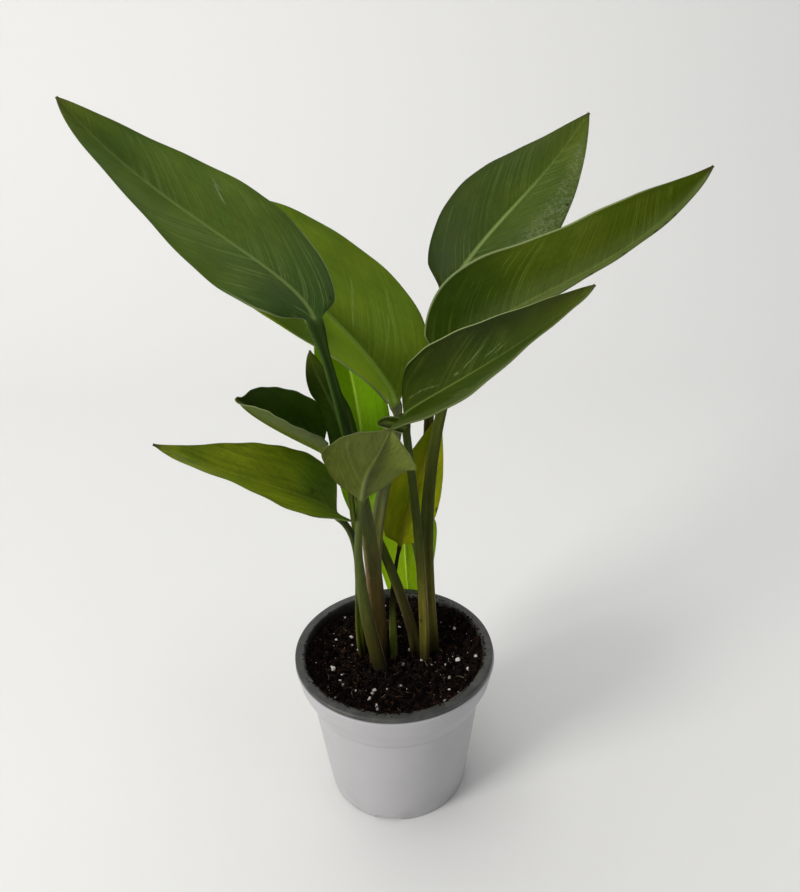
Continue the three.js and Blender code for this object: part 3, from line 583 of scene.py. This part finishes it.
# Leaves. Each grew as one piece: a sheath and a stalk that rise from the soil, and a paddle blade
# folded along its midrib. foot, climb, neck, rise, arch and tip place its spine in millimetres.
# face and roll turn it, fold and curl bend its halves, and wave lifts its two margins.
LEAVES = {
    "leaf_upper_left": dict(
        foot=(-10, -2.5), climb=(-7.5, -4, 173.5), reach=73, stem=(5.4, 2.6, 2.4, 2.2),
        neck=(-33, -13, 315), rise=(-41, 3, 336.5), arch=(-109.5, 3, 366.5),
        tip=(-143, 4, 418), face=(0, -0.6, 1), roll=(-22, -4), width=67, swell=0.59,
        taper=0.91, fold=(14, 29), curl=(-26, -4), wave=(3, -1.8, 0.09), lobe=0, flare=2.3),
    "leaf_upper_left_rear": dict(
        foot=(-6.8, 4.7), climb=(-21, 7.7, 200), reach=23, stem=(4.4, 2.5, 2.4, 2.2),
        neck=(5, 15.5, 256), rise=(-8.5, 22, 291.5), arch=(-69, 35, 343.5),
        tip=(-99, 50, 350), face=(0, -0.6, 1), roll=(-20, 10), width=79, swell=0.46,
        taper=0.67, fold=(48, 16), curl=(-8, -10), wave=(1.4, 2.1, -0.08), lobe=0, flare=1.6),
    "leaf_upper_right": dict(
        foot=(21, 15), climb=(20, 30, 200), reach=14, stem=(3.2, 2.8, 2.4, 2.2),
        neck=(33, 55, 302), rise=(60.5, 57, 347), arch=(84, 67, 353.5),
        tip=(112.5, 78, 395), face=(0, -0.6, 1), roll=(-1, -13), width=63, swell=0.52,
        taper=0.94, fold=(19, 8), curl=(-24, -15), wave=(-1.2, 1.1, 0.04), lobe=0, flare=1),
    "leaf_long_right": dict(
        foot=(22.6, 6.5), climb=(19, 8, 150.5), reach=61, stem=(4.9, 3.2, 2.7, 2.4),
        neck=(37.5, 16.5, 278.5), rise=(49, 21, 311), arch=(132, 25.5, 317),
        tip=(166, 29.5, 375), face=(0, -0.6, 1), roll=(4, 13), width=66, swell=0.48,
        taper=0.85, fold=(45, 47), curl=(-9, 0), wave=(3.9, 0.1, 0), lobe=0.2, flare=0.6),
    "leaf_lower_right": dict(
        foot=(18.2, -0.8), climb=(19, -3, 161.5), reach=60, stem=(3, 2.5, 2.1, 2),
        neck=(9.5, -18, 264), rise=(9, -24, 272.5), arch=(65.5, -29.5, 299.5),
        tip=(99.5, -24.5, 333), face=(0, -0.7, 1), roll=(28, 26), width=59, swell=0.46,
        taper=0.89, fold=(28, 28), curl=(-19, -5), wave=(-0.5, 2.4, 0.06), lobe=0, flare=1.1),
    "leaf_boat": dict(
        foot=(13.2, 5.2), climb=(13.5, 8.5, 115), reach=18, stem=(3.8, 2.3, 2, 1.9),
        neck=(-36, 19, 227), rise=(-54.5, 17.5, 238.5), arch=(-80, 13, 256),
        tip=(-79.5, 13.5, 264), face=(0, -0.2, 1), roll=(-7, -22), width=54, swell=0.42,
        taper=0.82, fold=(47, 28), curl=(-9, -5), wave=(0.9, 0, 0.14), lobe=0.05, flare=0.6),
    "leaf_lower_left": dict(
        foot=(-19.5, 2.5), climb=(-23, -6, 140), reach=29, stem=(2.6, 2.2, 2.1, 1.9),
        neck=(-27, -19.5, 207), rise=(-46, -31.5, 233), arch=(-69, -35.5, 235.5),
        tip=(-112, -42.5, 265.5), face=(0, -0.4, 1), roll=(-14, -18), width=58, swell=0.47,
        taper=0.97, fold=(34, 21), curl=(-16, -9), wave=(2.2, 1.1, 0.18), lobe=0.05, flare=0.8),
    "leaf_front": dict(
        foot=(-8.5, -9.8), climb=(-17.5, -14, 146.5), reach=48, stem=(4.2, 2, 1.7, 1.7),
        neck=(-13.5, -38, 229), rise=(-10.5, -42, 250.5), arch=(-6, -52.5, 254),
        tip=(3, -62, 280), face=(0, 1, 0.6), roll=(-1, 18), width=50, swell=0.45,
        taper=0.85, fold=(38, 9), curl=(-14, -15), wave=(1.4, 2.1, 0.07), lobe=0.13, flare=0.4),
    "leaf_narrow": dict(
        foot=(-16, 12), climb=(-16, 18, 147), reach=41, stem=(2, 1.8, 1.6, 1.5),
        neck=(-21.5, 3.5, 226), rise=(-20.5, 2, 256), arch=(-36.5, 1, 278),
        tip=(-37.5, -1, 295), face=(0, -1, 0.3), roll=(23, 17), width=18, swell=0.43,
        taper=0.8, fold=(24, 8), curl=(-21, -15), wave=(3.2, 0.6, 0.14), lobe=0, flare=0.2),
    "leaf_rear_bright": dict(
        foot=(-7, 17), climb=(-9, 22, 124), reach=29, stem=(2.2, 2, 1.8, 1.7),
        neck=(-13, 30.5, 172.5), rise=(-13.5, 38.5, 207.5), arch=(-14.5, 47, 268.5),
        tip=(-34, 54, 307.5), face=(0, -1, 0.3), roll=(16, 17), width=40, swell=0.51,
        taper=0.52, fold=(17, 16), curl=(-7, -6), wave=(3.2, 0.2, 0.2), lobe=0, flare=0.4),
    "leaf_rear_right": dict(
        foot=(-0.4, -0.5), climb=(-1.2, 14, 125), reach=23, stem=(2.4, 1.8, 1, 1),
        neck=(5, 20, 161), rise=(13, 25, 195.5), arch=(19, 29, 202),
        tip=(30.5, 36, 241), face=(0, -1, 0.3), roll=(-3, 1), width=32, swell=0.47,
        taper=0.95, fold=(26, 7), curl=(-20, -15), wave=(1, 1.5, 0.04), lobe=0.08, flare=0.4),
    "leaf_drooping": dict(
        foot=(20, 24), climb=(18, 32, 140), reach=22, stem=(2.2, 1.9, 1.7, 1.6),
        neck=(10, 52, 157), rise=(7, 64, 158), arch=(8, 84, 118),
        tip=(11, 92, 42), face=(0, 0.4, 1), roll=(0, 0), width=43, swell=0.5,
        taper=0.62, fold=(22, 8), curl=(-18, -12), wave=(1.2, 1.4, 0.3), lobe=0.1, flare=0.4),
}
EAR = dict(
    stem=(3, 2.5, 2.1, 2),
    neck=(10, -18, 258), rise=(4, -20, 262.5), arch=(0, -19.5, 263), tip=(-4, -17, 260.5),
    face=(0, -1, 0.5), roll=(0, 0), width=8, swell=0.3, taper=0.6,
    fold=(10, 10), curl=(30, 40), wave=(0, 0, 0), lobe=0, flare=0)
SET_DEPTH = 14.0
STALK_ROWS = 46
BLADE_ROWS = 96
BLADE_MIDDLE, BLADE_EDGE = 0.9, 0.7
NECK_SHARE = 0.07
FLARE_START = 0.91
EDGE_BULGE = 0.22
GROOVE_DEPTH, GROOVE_HALF = 0.3, 0.45
RIDGE_HEIGHT, RIDGE_HALF = 0.25, 0.9
WAVE_TURNS = 1.5
RIPPLE_HEIGHT, RIPPLE_PITCH = 0.25, 38
HALF_COLUMNS = np.array([
    0.012, 0.028, 0.05, 0.08, 0.13, 0.2, 0.29, 0.39, 0.5, 0.61, 0.72, 0.82, 0.9, 0.95, 0.983, 1,
])
COLUMNS = np.concatenate([-HALF_COLUMNS[::-1], [0], HALF_COLUMNS])


def cubic(points, share):
    """A cubic curve p = (1-s)^3 a + 3s(1-s)^2 b + 3s^2(1-s) c + s^3 d, and its unit direction."""
    a, b, c, d = (np.array(p, float) for p in points)
    s = share[:, None]
    at = (1 - s) ** 3 * a + 3 * s * (1 - s) ** 2 * b + 3 * s * s * (1 - s) * c + s**3 * d
    run = (1 - s) ** 2 * (b - a) + 2 * s * (1 - s) * (c - b) + s * s * (d - c)
    return at, run / np.linalg.norm(run, axis=1, keepdims=True)


def lean_frame(run, face, roll):
    """The upper side's direction, which is face squared to the spine and turned about it by -roll
    degrees, and the direction of the right half."""
    up = np.array(face, float) - (run @ np.array(face, float))[:, None] * run
    up = up / np.linalg.norm(up, axis=1, keepdims=True)
    angle = np.radians(-roll)[:, None]
    up = up * np.cos(angle) + np.cross(run, up) * np.sin(angle)
    return up, np.cross(run, up)


def between(pair, share):
    """The value at share from the first of pair to the second."""
    return pair[0] + (pair[1] - pair[0]) * share


def smooth(value, low=0.0, high=1.0):
    """The smooth rise 3t^2 - 2t^3 from 0 at low to 1 at high."""
    t = np.clip((value - low) / (high - low), 0, 1)
    return t * t * (3 - 2 * t)


def stalk_rows(leaf, share):
    """Sections of the stalk, as sideways and upward offsets: x = w sin a, above f t cos a and below
    -t cos a, for a half width w, a half thickness t, and a top flattened by f with a groove. The
    sheath narrows on the way up, and the stalk flares just under the blade."""
    lean = np.linspace(-math.pi / 2, math.pi / 2, len(COLUMNS))
    share = share[:, None]
    wide = between(leaf["stem"][0::2], smooth(share)) + leaf["flare"] * smooth(share, FLARE_START)
    thick = between(leaf["stem"][1::2], smooth(share))
    groove = GROOVE_DEPTH * thick * np.exp(-((lean / GROOVE_HALF) ** 2))
    sideways = wide * np.sin(lean)
    above = between((0.75, 0.4), share) * thick * np.cos(lean) + BLADE_EDGE / 2 - groove
    below = -thick * np.cos(lean) - BLADE_EDGE / 2
    return sideways, sideways, above, below, 0 * sideways


def blade_rows(leaf, share):
    """Sections of the blade. Its half width is w = W/2 s^swell (1-s)^taper over its peak, and each
    half bends along an arc from the angle fold by the angle curl: x = w (sin b - sin fold) / curl
    and z = w (cos fold - cos b) / curl, with b = fold + curl t, t from the midrib to the margin.
    A slow wave and a fine ripple lift the margins, and the midrib stands out below."""
    swell, taper = leaf["swell"], leaf["taper"]
    widest = swell / (swell + taper)
    outline = share**swell * (1 - share) ** taper / (widest**swell * (1 - widest) ** taper)
    half = np.maximum(leaf["width"] / 2 * outline, 0.6)[:, None]
    hand, t = np.sign(COLUMNS), np.abs(COLUMNS)
    fold = np.radians(between(leaf["fold"], share))[:, None]
    curl = np.radians(between(leaf["curl"], share))[:, None]
    curl = np.where(np.abs(curl) < 1e-3, 1e-3, curl)
    bend = fold + curl * t
    left, righthand, start = leaf["wave"]
    swing = np.sin(TURN * (WAVE_TURNS * share + start))[:, None] * np.minimum(1, half / 8)
    wave = np.where(hand < 0, left, righthand) * t * t * swing
    ripple = np.sin(RIPPLE_PITCH * share[:, None] + 2.2 * hand + leaf["width"])
    ripple = RIPPLE_HEIGHT * t**4 * ripple * np.minimum(1, half / 12)
    sideways = hand * half * (np.sin(bend) - np.sin(fold)) / curl
    high = half * (np.cos(fold) - np.cos(bend)) / curl + wave + ripple
    thick = between((BLADE_MIDDLE, BLADE_EDGE), t) / 2
    rib = between((leaf["stem"][2], 0.4), share)[:, None]
    keel = between((leaf["stem"][3], 0.3), share)[:, None]
    under = keel * np.cos(math.pi / 2 * np.minimum(1, half * t / rib)) ** 2
    ridge = RIDGE_HEIGHT * np.exp(-((half * t / RIDGE_HALF) ** 2)) * np.minimum(1, half / 6)
    lift, tip_in = np.cos(bend) * thick, -hand * np.sin(bend) * thick
    back = -leaf["lobe"] * leaf["width"] / 2 * t * np.maximum(0, 1 - share / 0.2)[:, None] ** 2
    return sideways + tip_in, sideways - tip_in, high + lift + ridge, high - lift - under, back


def leaf_mesh(name, leaves):
    """One closed skin for each leaf of leaves, in one mesh. The stalk's sections blend into the
    blade's over the first 7 hundredths of the blade, and an ear is a blade with no stalk. Two
    attributes hold each point's place: leaf_place has across, along and upper, and leaf_size has
    the millimetres off the midrib and past the neck, and the share grown into a blade."""
    grids, places, sizes = [], [], []
    for leaf in leaves:
        neck, rise = np.array(leaf["neck"], float), np.array(leaf["rise"], float)
        share = (1 - np.cos(math.pi * np.arange(1, BLADE_ROWS + 1) / BLADE_ROWS)) / 2
        at, run = cubic((neck, rise, leaf["arch"], leaf["tip"]), share)
        low = np.zeros(0)
        if "foot" in leaf:
            leaving = (rise - neck) / np.linalg.norm(rise - neck)
            low = np.linspace(0, 1, STALK_ROWS)
            foot, under_neck = (*leaf["foot"], SOIL_TOP), neck - leaving * leaf["reach"]
            stalk_at, stalk_run = cubic((foot, leaf["climb"], under_neck, neck), low)
            at = np.concatenate([stalk_at[:1] - (0, 0, SET_DEPTH), stalk_at, at])
            run = np.concatenate([stalk_run[:1], stalk_run, run])
            low = np.concatenate([[0], low])
        before = np.zeros(len(low))
        roll = np.concatenate([before + leaf["roll"][0], between(leaf["roll"], share)])
        up, side = lean_frame(run, leaf["face"], roll)
        stalk = stalk_rows(leaf, np.concatenate([low, np.ones(BLADE_ROWS)]))
        blade = blade_rows(leaf, np.concatenate([before + 1e-4, share]))
        grown = smooth(np.concatenate([before, share]), 0, NECK_SHARE)[:, None]
        blend = [a + (b - a) * grown for a, b in zip(stalk, blade)]
        x_above, x_below, z_above, z_below, back = blend

        def skin(x, z):
            off = side[:, None] * x[..., None] + up[:, None] * z[..., None]
            return at[:, None] + off + run[:, None] * back[..., None]

        above, below = skin(x_above, z_above), skin(x_below, z_below)
        edge = (above[:, [-1, 0]] + below[:, [-1, 0]]) / 2
        outward = edge - (above[:, [-2, 1]] + below[:, [-2, 1]]) / 2
        length = np.maximum(np.linalg.norm(outward, axis=-1, keepdims=True), 1e-6)
        edge = edge + EDGE_BULGE * outward / length
        grids.append(np.concatenate([above, edge[:, :1], below[:, ::-1], edge[:, 1:]], axis=1))
        across = np.concatenate([COLUMNS, [1], COLUMNS[::-1], [-1]])
        upper = np.concatenate([np.ones(len(COLUMNS)), [0.5], np.zeros(len(COLUMNS)), [0.5]])
        along = np.concatenate([low - 1, share])[:, None]
        steps = np.linalg.norm(np.diff(at, axis=0), axis=1)
        gone = np.concatenate([[0], np.cumsum(steps)])[:, None]
        gone = gone - gone[len(low)]
        off_rib = [x_above, x_above[:, -1:], x_below[:, ::-1], x_below[:, :1]]
        off_rib = np.concatenate(off_rib, axis=1)
        places.append(np.stack(np.broadcast_arrays(across, along, upper), axis=-1))
        sizes.append(np.stack(np.broadcast_arrays(off_rib, gone, grown), axis=-1))
    mesh = grid_mesh(name, *grids, wrap=True, caps=True)
    for label, values in (("leaf_place", places), ("leaf_size", sizes)):
        layer = mesh.attributes.new(label, "FLOAT_VECTOR", "POINT")
        layer.data.foreach_set("vector", np.concatenate([v.reshape(-1, 3) for v in values]).ravel())
    return mesh


FINE_WIDTH, PLEAT_WIDTH, WANDER_WIDTH = 0.6, 2.6, 19
VEIN_WIDTH, THIN_VEIN_WIDTH = 6.5, 2.9
UNDER = (0.075, 0.11, 0.012)
PALE_VEIN = (0.18, 0.25, 0.06)
GREEN_STALK = (0.044, 0.058, 0.003)
OLIVE_SHEATH = (0.122, 0.110, 0.016)
BROWN_SHEATH = (0.080, 0.052, 0.012)
YELLOWED = (0.15, 0.17, 0.004)
PALE_STRIP = (0.140, 0.185, 0.055)
# The next colour is a painted highlight along chosen stretches of leaf margin.
PAINTED_MARGIN_HIGHLIGHT = (0.28, 0.335, 0.14)
DRY_TIP = (0.05, 0.03, 0.012)
SILVER = (0.20, 0.235, 0.125)
SHEATH_EDGE = (0.21, 0.15, 0.095)
PALE_SCAR = (0.24, 0.29, 0.14)
PINK_SCAR = (0.25, 0.16, 0.10)
DARK_SPOT = (0.018, 0.014, 0.005)
LIT_THROUGH = (0.36, 0.50, 0.01)


def leaf_paint(
    name, upper, under=UNDER, vein=PALE_VEIN, stalk=GREEN_STALK, sheath=GREEN_STALK, neck=None,
    deep=0.0, far=0.0, yellow=0.2, yellow_from=0.62, mottle=0.3, grainy=0.25, rib=0.8,
    rib_width=1.75, rib_end=1.05, creases=0.4, halves=(1, 1), turn=(-0.06, 0.06), strip=(2, 3, 0),
    margin=(0, 0), margin_end=0.5, brown_tip=0.5, lean=-0.3, silver=0.0, silver_zone=(2, 3),
    scars=(), scar=PALE_SCAR, marks=(), glow=0.2, sheen=0.15,
):
    """A leaf's material, worked out from each point's place on the leaf. Side veins lie on lines of
    equal m = gone - off (0.95 + 0.5 t + 0.5 s) with t across and s along, so they leave the midrib
    steeply and bend to the tip. Fine streaks lie everywhere, and paler uneven ones about 6 mm
    apart. scars are pale scratches, given by their two ends past the neck and off the midrib, half
    width and strength, and marks are dark spots, given by place and radius, all in millimetres."""
    material, shader, wire, point = paint(name)
    place_at = wire.node("Attribute", {"attribute_name": "leaf_place"}, out="Vector")
    size_at = wire.node("Attribute", {"attribute_name": "leaf_size"}, out="Vector")
    across, along, face = (place_at.part(axis) for axis in "XYZ")
    hand, gone = (size_at.part(axis) for axis in "XY")
    off, t = abs(hand), abs(across)
    blade = along.ease(-0.02, 0.02)
    is_upper = face.ease(0.45, 0.55)
    patch = point.grain(18, 3, 0.6)
    broad = point.grain(26)
    cell = point.grain(2.2, 4, 0.7)
    line = gone - off * (t * 0.5 + along * 0.5 + 0.95)
    line = line + across.ease(-0.001, 0.001) * 31 + (patch - 0.5) * 3
    fine = line.streak(FINE_WIDTH, 2)
    pleat = line.streak(PLEAT_WIDTH, 1)
    wander = line + line.streak(WANDER_WIDTH, 1) * 9
    wide_vein = 1 - abs(wander.streak(VEIN_WIDTH, 0) - 0.5).ease(0.0, 0.06)
    thin_vein = 1 - abs(wander.streak(THIN_VEIN_WIDTH, 0) - 0.5).ease(0.0, 0.09)
    veins = wide_vein * broad.ease(0.36, 0.6) + thin_vein * patch.ease(0.46, 0.62) * 0.45
    open_part = (1 - t.ease(0.75, 0.98)) * blade
    rib_half = rib_width - along * rib_width * 0.6
    ribbed = (1 - (off / rib_half).ease(0.3, 1.0)) * blade
    ribbed = ribbed * (1 - along.ease(rib_end - 0.45, rib_end) * 0.8)
    rimmed = (1 - abs(face * 2 - 1).ease(0.55, 1.0)) * blade

    warm = tuple(c * f for c, f in zip(upper, (1.22, 1.08, 0.8)))
    deep_and_shaded = tuple(c * f for c, f in zip(upper, (0.46, 0.57, 0.7)))
    green = patch.ease(0.35, 0.65).tint(upper, warm)
    # deep and far darken the blade towards its base and its tip, partly as the leaf's own colour
    # and partly as painted shade.
    green = ((1 - along.ease(0.08, 0.58)) * deep + along.ease(0.55, 0.9) * far).tint(green, deep_and_shaded)
    green = (along.ease(yellow_from, 1.0) * yellow).tint(green, YELLOWED)
    side = is_upper.tint(under, green)
    # Painted light and shade: each half of the blade is made lighter or darker by its own factor,
    # as light would fall on it. The colour also darkens a little towards the margin.
    painted_light = across.ease(*turn) * (halves[1] - halves[0]) + halves[0]
    painted_light = painted_light * (1 - t.ease(0.8, 1.0) * 0.12)
    lengthways = wire.node("CombineXYZ", {}, {"X": gone * 0.05, "Y": hand * 0.6, "Z": face * 3})
    grain = lengthways.noise(distortion=0.4)
    side = (across.ease(*strip[:2]) * is_upper * strip[2]).tint(side, PALE_STRIP)
    streaks = (fine - 0.5) * 0.34 * open_part + (pleat - 0.5) * 0.28 + (grain - 0.5) * grainy * 2
    side = side.lit(painted_light * (streaks + (cell - 0.5) * mottle + (broad - 0.5) * mottle * 1.2 + 1))
    side = (veins * open_part * creases).tint(side, vein)
    side = (ribbed * rib).tint(side, vein)
    # The thin edge face is painted darker, as shade, and chosen stretches of margin get a pale
    # painted highlight.
    side = side.lit(1 - rimmed * 0.3)
    thread = rimmed + t.ease(0.964, 0.982) * is_upper * (1 - rimmed) * blade
    margin_highlight = thread * (across.ease(-0.1, 0.1) * (margin[1] - margin[0]) + margin[0])
    margin_highlight = margin_highlight * (1 - along.ease(margin_end - 0.2, margin_end))
    side = margin_highlight.tint(side, PAINTED_MARGIN_HIGHLIGHT)
    side = (along.ease(0.965, 0.995) * brown_tip).tint(side, DRY_TIP)
    if silver:
        crackle = point.grain(1.7, 4, 0.8).ease(0.46, 0.62) * 0.65 + fine.ease(0.45, 0.65) * 0.35
        zone = (across + (patch - 0.5) * 0.5).ease(*silver_zone)
        zone = zone * (broad.ease(0.3, 0.5) * 0.5 + 0.5)
        zone = zone * (1 - along.ease(0.85, 1.0)) * is_upper * blade
        side = (crackle * zone * silver).tint(side, SILVER)

    ruled = wire.node("CombineXYZ", {}, {"X": across * 5, "Y": gone / 28, "Z": face * 2})
    grooves = ruled.noise()
    low = 1 - (along + (patch - 0.5) * 0.3).ease(-0.85, -0.5)
    stem = low.tint(stalk, sheath)
    stem = along.ease(-0.42, -0.25).tint(stem, neck or stalk)
    ridged = (grooves - 0.5) * 1.5 + (cell - 0.5) * 0.4
    # lean paints light and shade across the stalk, one side lighter and the other darker.
    stem = stem.lit(ridged + across * lean * (low * 0.7 + 0.3) + 1)
    stem = (t.ease(0.88, 0.97) * low * 0.6).tint(stem, SHEATH_EDGE)
    # The foot of each stalk is painted dark, as shade where it meets the soil.
    foot = 1 - (along + (patch - 0.5) * 0.06).ease(-1.0, -0.87)
    stem = (foot * 0.85).tint(stem, SOIL_DUST_AND_SHADE)
    whole = blade.tint(stem, side)
    for past, aside, past_end, aside_end, width, strength in scars:
        length = math.hypot(past_end - past, aside_end - aside)
        run, rise = (past_end - past) / length, (aside_end - aside) / length
        reached = (gone - past) * run + (hand - aside) * rise
        beside = abs((hand - aside) * run - (gone - past) * rise + (patch - 0.5) * 2)
        ends = reached.ease(0, 3) * (1 - reached.ease(length - 4, length))
        scratch = (1 - beside.ease(width * 0.3, width)) * ends * cell.ease(0.3, 0.55) * is_upper
        whole = (scratch * strength).tint(whole, scar if past > 0 else PINK_SCAR)
    for past, aside, radius in marks:
        away = wire.maths("SQRT", (gone - past) ** 2 + (hand - aside) ** 2 + (cell - 0.5) * radius)
        whole = ((1 - away.ease(radius * 0.5, radius)) * 0.85).tint(whole, DARK_SPOT)

    relief = pleat * 0.55 + fine * 0.2 * open_part - veins * 0.4 * open_part
    relief = relief + ribbed * 0.5 + grooves * (1 - blade) * 0.5
    join(shader, {
        "Base Color": whole,
        "Roughness": (1 - is_upper) * 0.12 + patch * 0.14 + (cell - 0.5) * 0.14 + 0.42,
        "Normal": relief.bump(0.5, 0.45),
    })
    shader.inputs["Specular IOR Level"].default_value = sheen
    through = wire.node("BsdfTranslucent", {}, {"Color": LIT_THROUGH})
    layers = {0: blade * (1 - ribbed) * glow, 1: Wire(wire.tree, shader.outputs[0]), 2: through}
    join(wire.tree.nodes["Material Output"], {"Surface": wire.node("MixShader", {}, layers)})
    return material


# In these looks the factors for each half of a blade, and the lean of each stalk, set painted light
# and shade.
LOOKS = {
    "leaf_upper_left": dict(
        upper=(0.093, 0.160, 0.018), sheath=BROWN_SHEATH, neck=(0.017, 0.040, 0.001), deep=1.0,
        far=0.4, yellow=0.35, yellow_from=0.8, creases=0.52, halves=(0.88, 1), margin=(0.7, 0.75),
        margin_end=0.42, glow=0.1, lean=-0.8, marks=[(7, 15, 0.9)],
        scars=[
            (67, 14, 79, 21, 0.6, 0.9), (72, 19, 83, 23, 0.5, 0.7), (58, 11, 63, 13, 0.5, 0.5),
            (-186, -4.6, -122, -4.6, 1.9, 0.4),
        ]),
    # Its lower-left half is painted lighter, as light where it lies in shade, and a little of the
    # blue in its colour is painted sheen.
    "leaf_upper_left_rear": dict(
        upper=(0.130, 0.210, 0.013), under=(0.10, 0.15, 0.006), vein=(0.27, 0.41, 0.05),
        stalk=(0.085, 0.10, 0.03), sheath=OLIVE_SHEATH, mottle=0.2, creases=0.3, rib=0.95,
        rib_width=2.3, halves=(1.75, 0.96), margin=(0.8, 0), glow=0.3,
        scars=[
            (45, 3, 66, 20.5, 0.7, 0.45), (20, 2.7, 41, 20, 0.6, 0.45),
            (40, 19, 50, 27.7, 0.5, 0.35), (17, 13.6, 28, 16.5, 0.5, 0.5),
        ],
        scar=(0.28, 0.38, 0.09)),
    "leaf_upper_right": dict(
        upper=(0.047, 0.082, 0.006), stalk=(0.06, 0.05, 0.008), sheath=BROWN_SHEATH, deep=0.6,
        halves=(0.72, 1.05), turn=(-0.6, 0.2), creases=0.24, rib_end=0.85, silver=0.9,
        silver_zone=(0.3, 0.75), marks=[(80.6, 22, 1.3)]),
    "leaf_long_right": dict(
        upper=(0.062, 0.098, 0.001), under=(0.125, 0.165, 0.022), vein=(0.15, 0.21, 0.03),
        sheath=OLIVE_SHEATH, deep=1.3, far=0.35, yellow=0.1, rib=0.25, creases=0.28,
        halves=(0.92, 0.92), brown_tip=0.9, strip=(-0.5, 0.15, 0.75), margin=(0.8, 0),
        margin_end=0.95, sheen=0.12,
        marks=[
            (133.5, 9.6, 1.8), (128, 11.4, 1.6), (121, 13.2, 1.9), (101.5, 17.2, 1.6),
            (82, 20.4, 1.6), (-138, -0.5, 0.9),
        ]),
    "leaf_lower_right": dict(
        upper=(0.030, 0.053, 0.001), under=(0.11, 0.15, 0.022), vein=(0.10, 0.15, 0.025),
        stalk=(0.034, 0.050, 0.003), sheath=OLIVE_SHEATH, creases=0.25, rib=0.6, rib_end=0.85,
        halves=(0.40, 0.82), turn=(-0.85, -0.05), strip=(0.7, 0.9, 0.3), margin=(0.85, 0.3),
        margin_end=1.1, sheen=0.1, scar=(0.15, 0.20, 0.07), marks=[(-147, -1.1, 0.9)],
        scars=[
            (33.8, -3.7, 40, -4.2, 0.8, 0.7), (40, -4, 56, -9.8, 0.5, 0.6),
            (52, -4, 64.5, -5.8, 0.4, 0.6), (56, -3, 66.7, -4.2, 0.4, 0.5),
            (6.8, -5.6, 18.4, -6.1, 0.6, 0.5), (16, -6, 27, -3.4, 0.5, 0.5),
            (36, 16, 44, 18.6, 0.6, 0.7), (34, 18, 41, 20, 0.5, 0.6),
        ]),
    "leaf_boat": dict(
        upper=(0.023, 0.057, 0.001), under=(0.058, 0.086, 0.003), vein=(0.12, 0.17, 0.04),
        stalk=(0.05, 0.065, 0.006), sheath=(0.085, 0.068, 0.018), mottle=0.6, rib=0.1,
        creases=0.12, margin=(0.8, 0.2), margin_end=1.1, glow=0.08, sheen=0.08,
        scars=[(-120, 3.0, -100, 2.6, 0.9, 0.8)]),
    # A little of the blue in its upper colour is painted sheen.
    "leaf_lower_left": dict(
        upper=(0.190, 0.262, 0.008), under=(0.09, 0.13, 0.012), vein=(0.26, 0.33, 0.03),
        stalk=(0.030, 0.048, 0.004), deep=1.3, yellow=0.05, mottle=0.8, grainy=0.8, rib=0.3,
        creases=0.3, margin=(0.6, 0.6), margin_end=0.35, brown_tip=0.9, marks=[(20.9, 4.3, 1.3)]),
    "leaf_front": dict(
        upper=(0.075, 0.11, 0.012), under=(0.080, 0.098, 0.014), vein=(0.16, 0.20, 0.06),
        stalk=(0.060, 0.078, 0.012), sheath=(0.042, 0.037, 0.006), mottle=0.6, grainy=0.5,
        rib=0.7, rib_end=0.6, creases=0.2, halves=(1.7, 0.93), turn=(-0.5, -0.15),
        margin=(0.6, 0.2), margin_end=1.1, lean=0.4, glow=0.1),
    "leaf_narrow": dict(
        upper=(0.011, 0.028, 0.0005), under=(0.05, 0.075, 0.006), vein=(0.06, 0.09, 0.02),
        rib=0.4, creases=0.2, glow=0.08, sheen=0.08),
    # Its bright colours are partly painted light, for light shining through the leaf, and its left
    # half is painted darker as shade.
    "leaf_rear_bright": dict(
        upper=(0.147, 0.345, 0.001), under=(0.14, 0.27, 0.002), vein=(0.30, 0.46, 0.04),
        mottle=0.6, grainy=0.5, halves=(0.6, 1), glow=0.45, sheen=0.08),
    # Its upper colour is partly painted light shining through the leaf, and its right half is
    # painted lighter still.
    "leaf_rear_right": dict(
        upper=(0.170, 0.190, 0.002), under=(0.11, 0.13, 0.01), vein=(0.24, 0.25, 0.02),
        stalk=(0.022, 0.018, 0.004), sheath=(0.085, 0.110, 0.012), mottle=0.6, grainy=0.6,
        rib=0.4, creases=0.3, yellow=0.0, halves=(0.95, 2.6), turn=(-0.05, 0.35),
        marks=[(29, 16, 2.2), (14, 13.5, 2.2)], glow=0.35, sheen=0.08),
    # Its bright colours are partly painted light, for light shining through the leaf.
    "leaf_drooping": dict(
        upper=(0.20, 0.36, 0.003), under=(0.32, 0.52, 0.003), vein=(0.36, 0.52, 0.05), mottle=0.5,
        rib=0.5, glow=0.5, sheen=0.08),
}
SLOTS = {
    "leaf_upper_left_rear": "leaf_olive", "leaf_long_right": "leaf_olive",
    "leaf_lower_left": "leaf_olive", "leaf_rear_right": "leaf_olive", "leaf_front": "leaf_grey",
    "leaf_rear_bright": "leaf_bright", "leaf_drooping": "leaf_bright",
}
for name, leaf in LEAVES.items():
    skins = [leaf, EAR] if name == "leaf_lower_right" else [leaf]
    mesh = leaf_mesh(name + "_blade", skins)
    place(mesh, leaf_paint(name + "_green", **LOOKS[name]), SLOTS.get(name, "leaf_dark"), name)
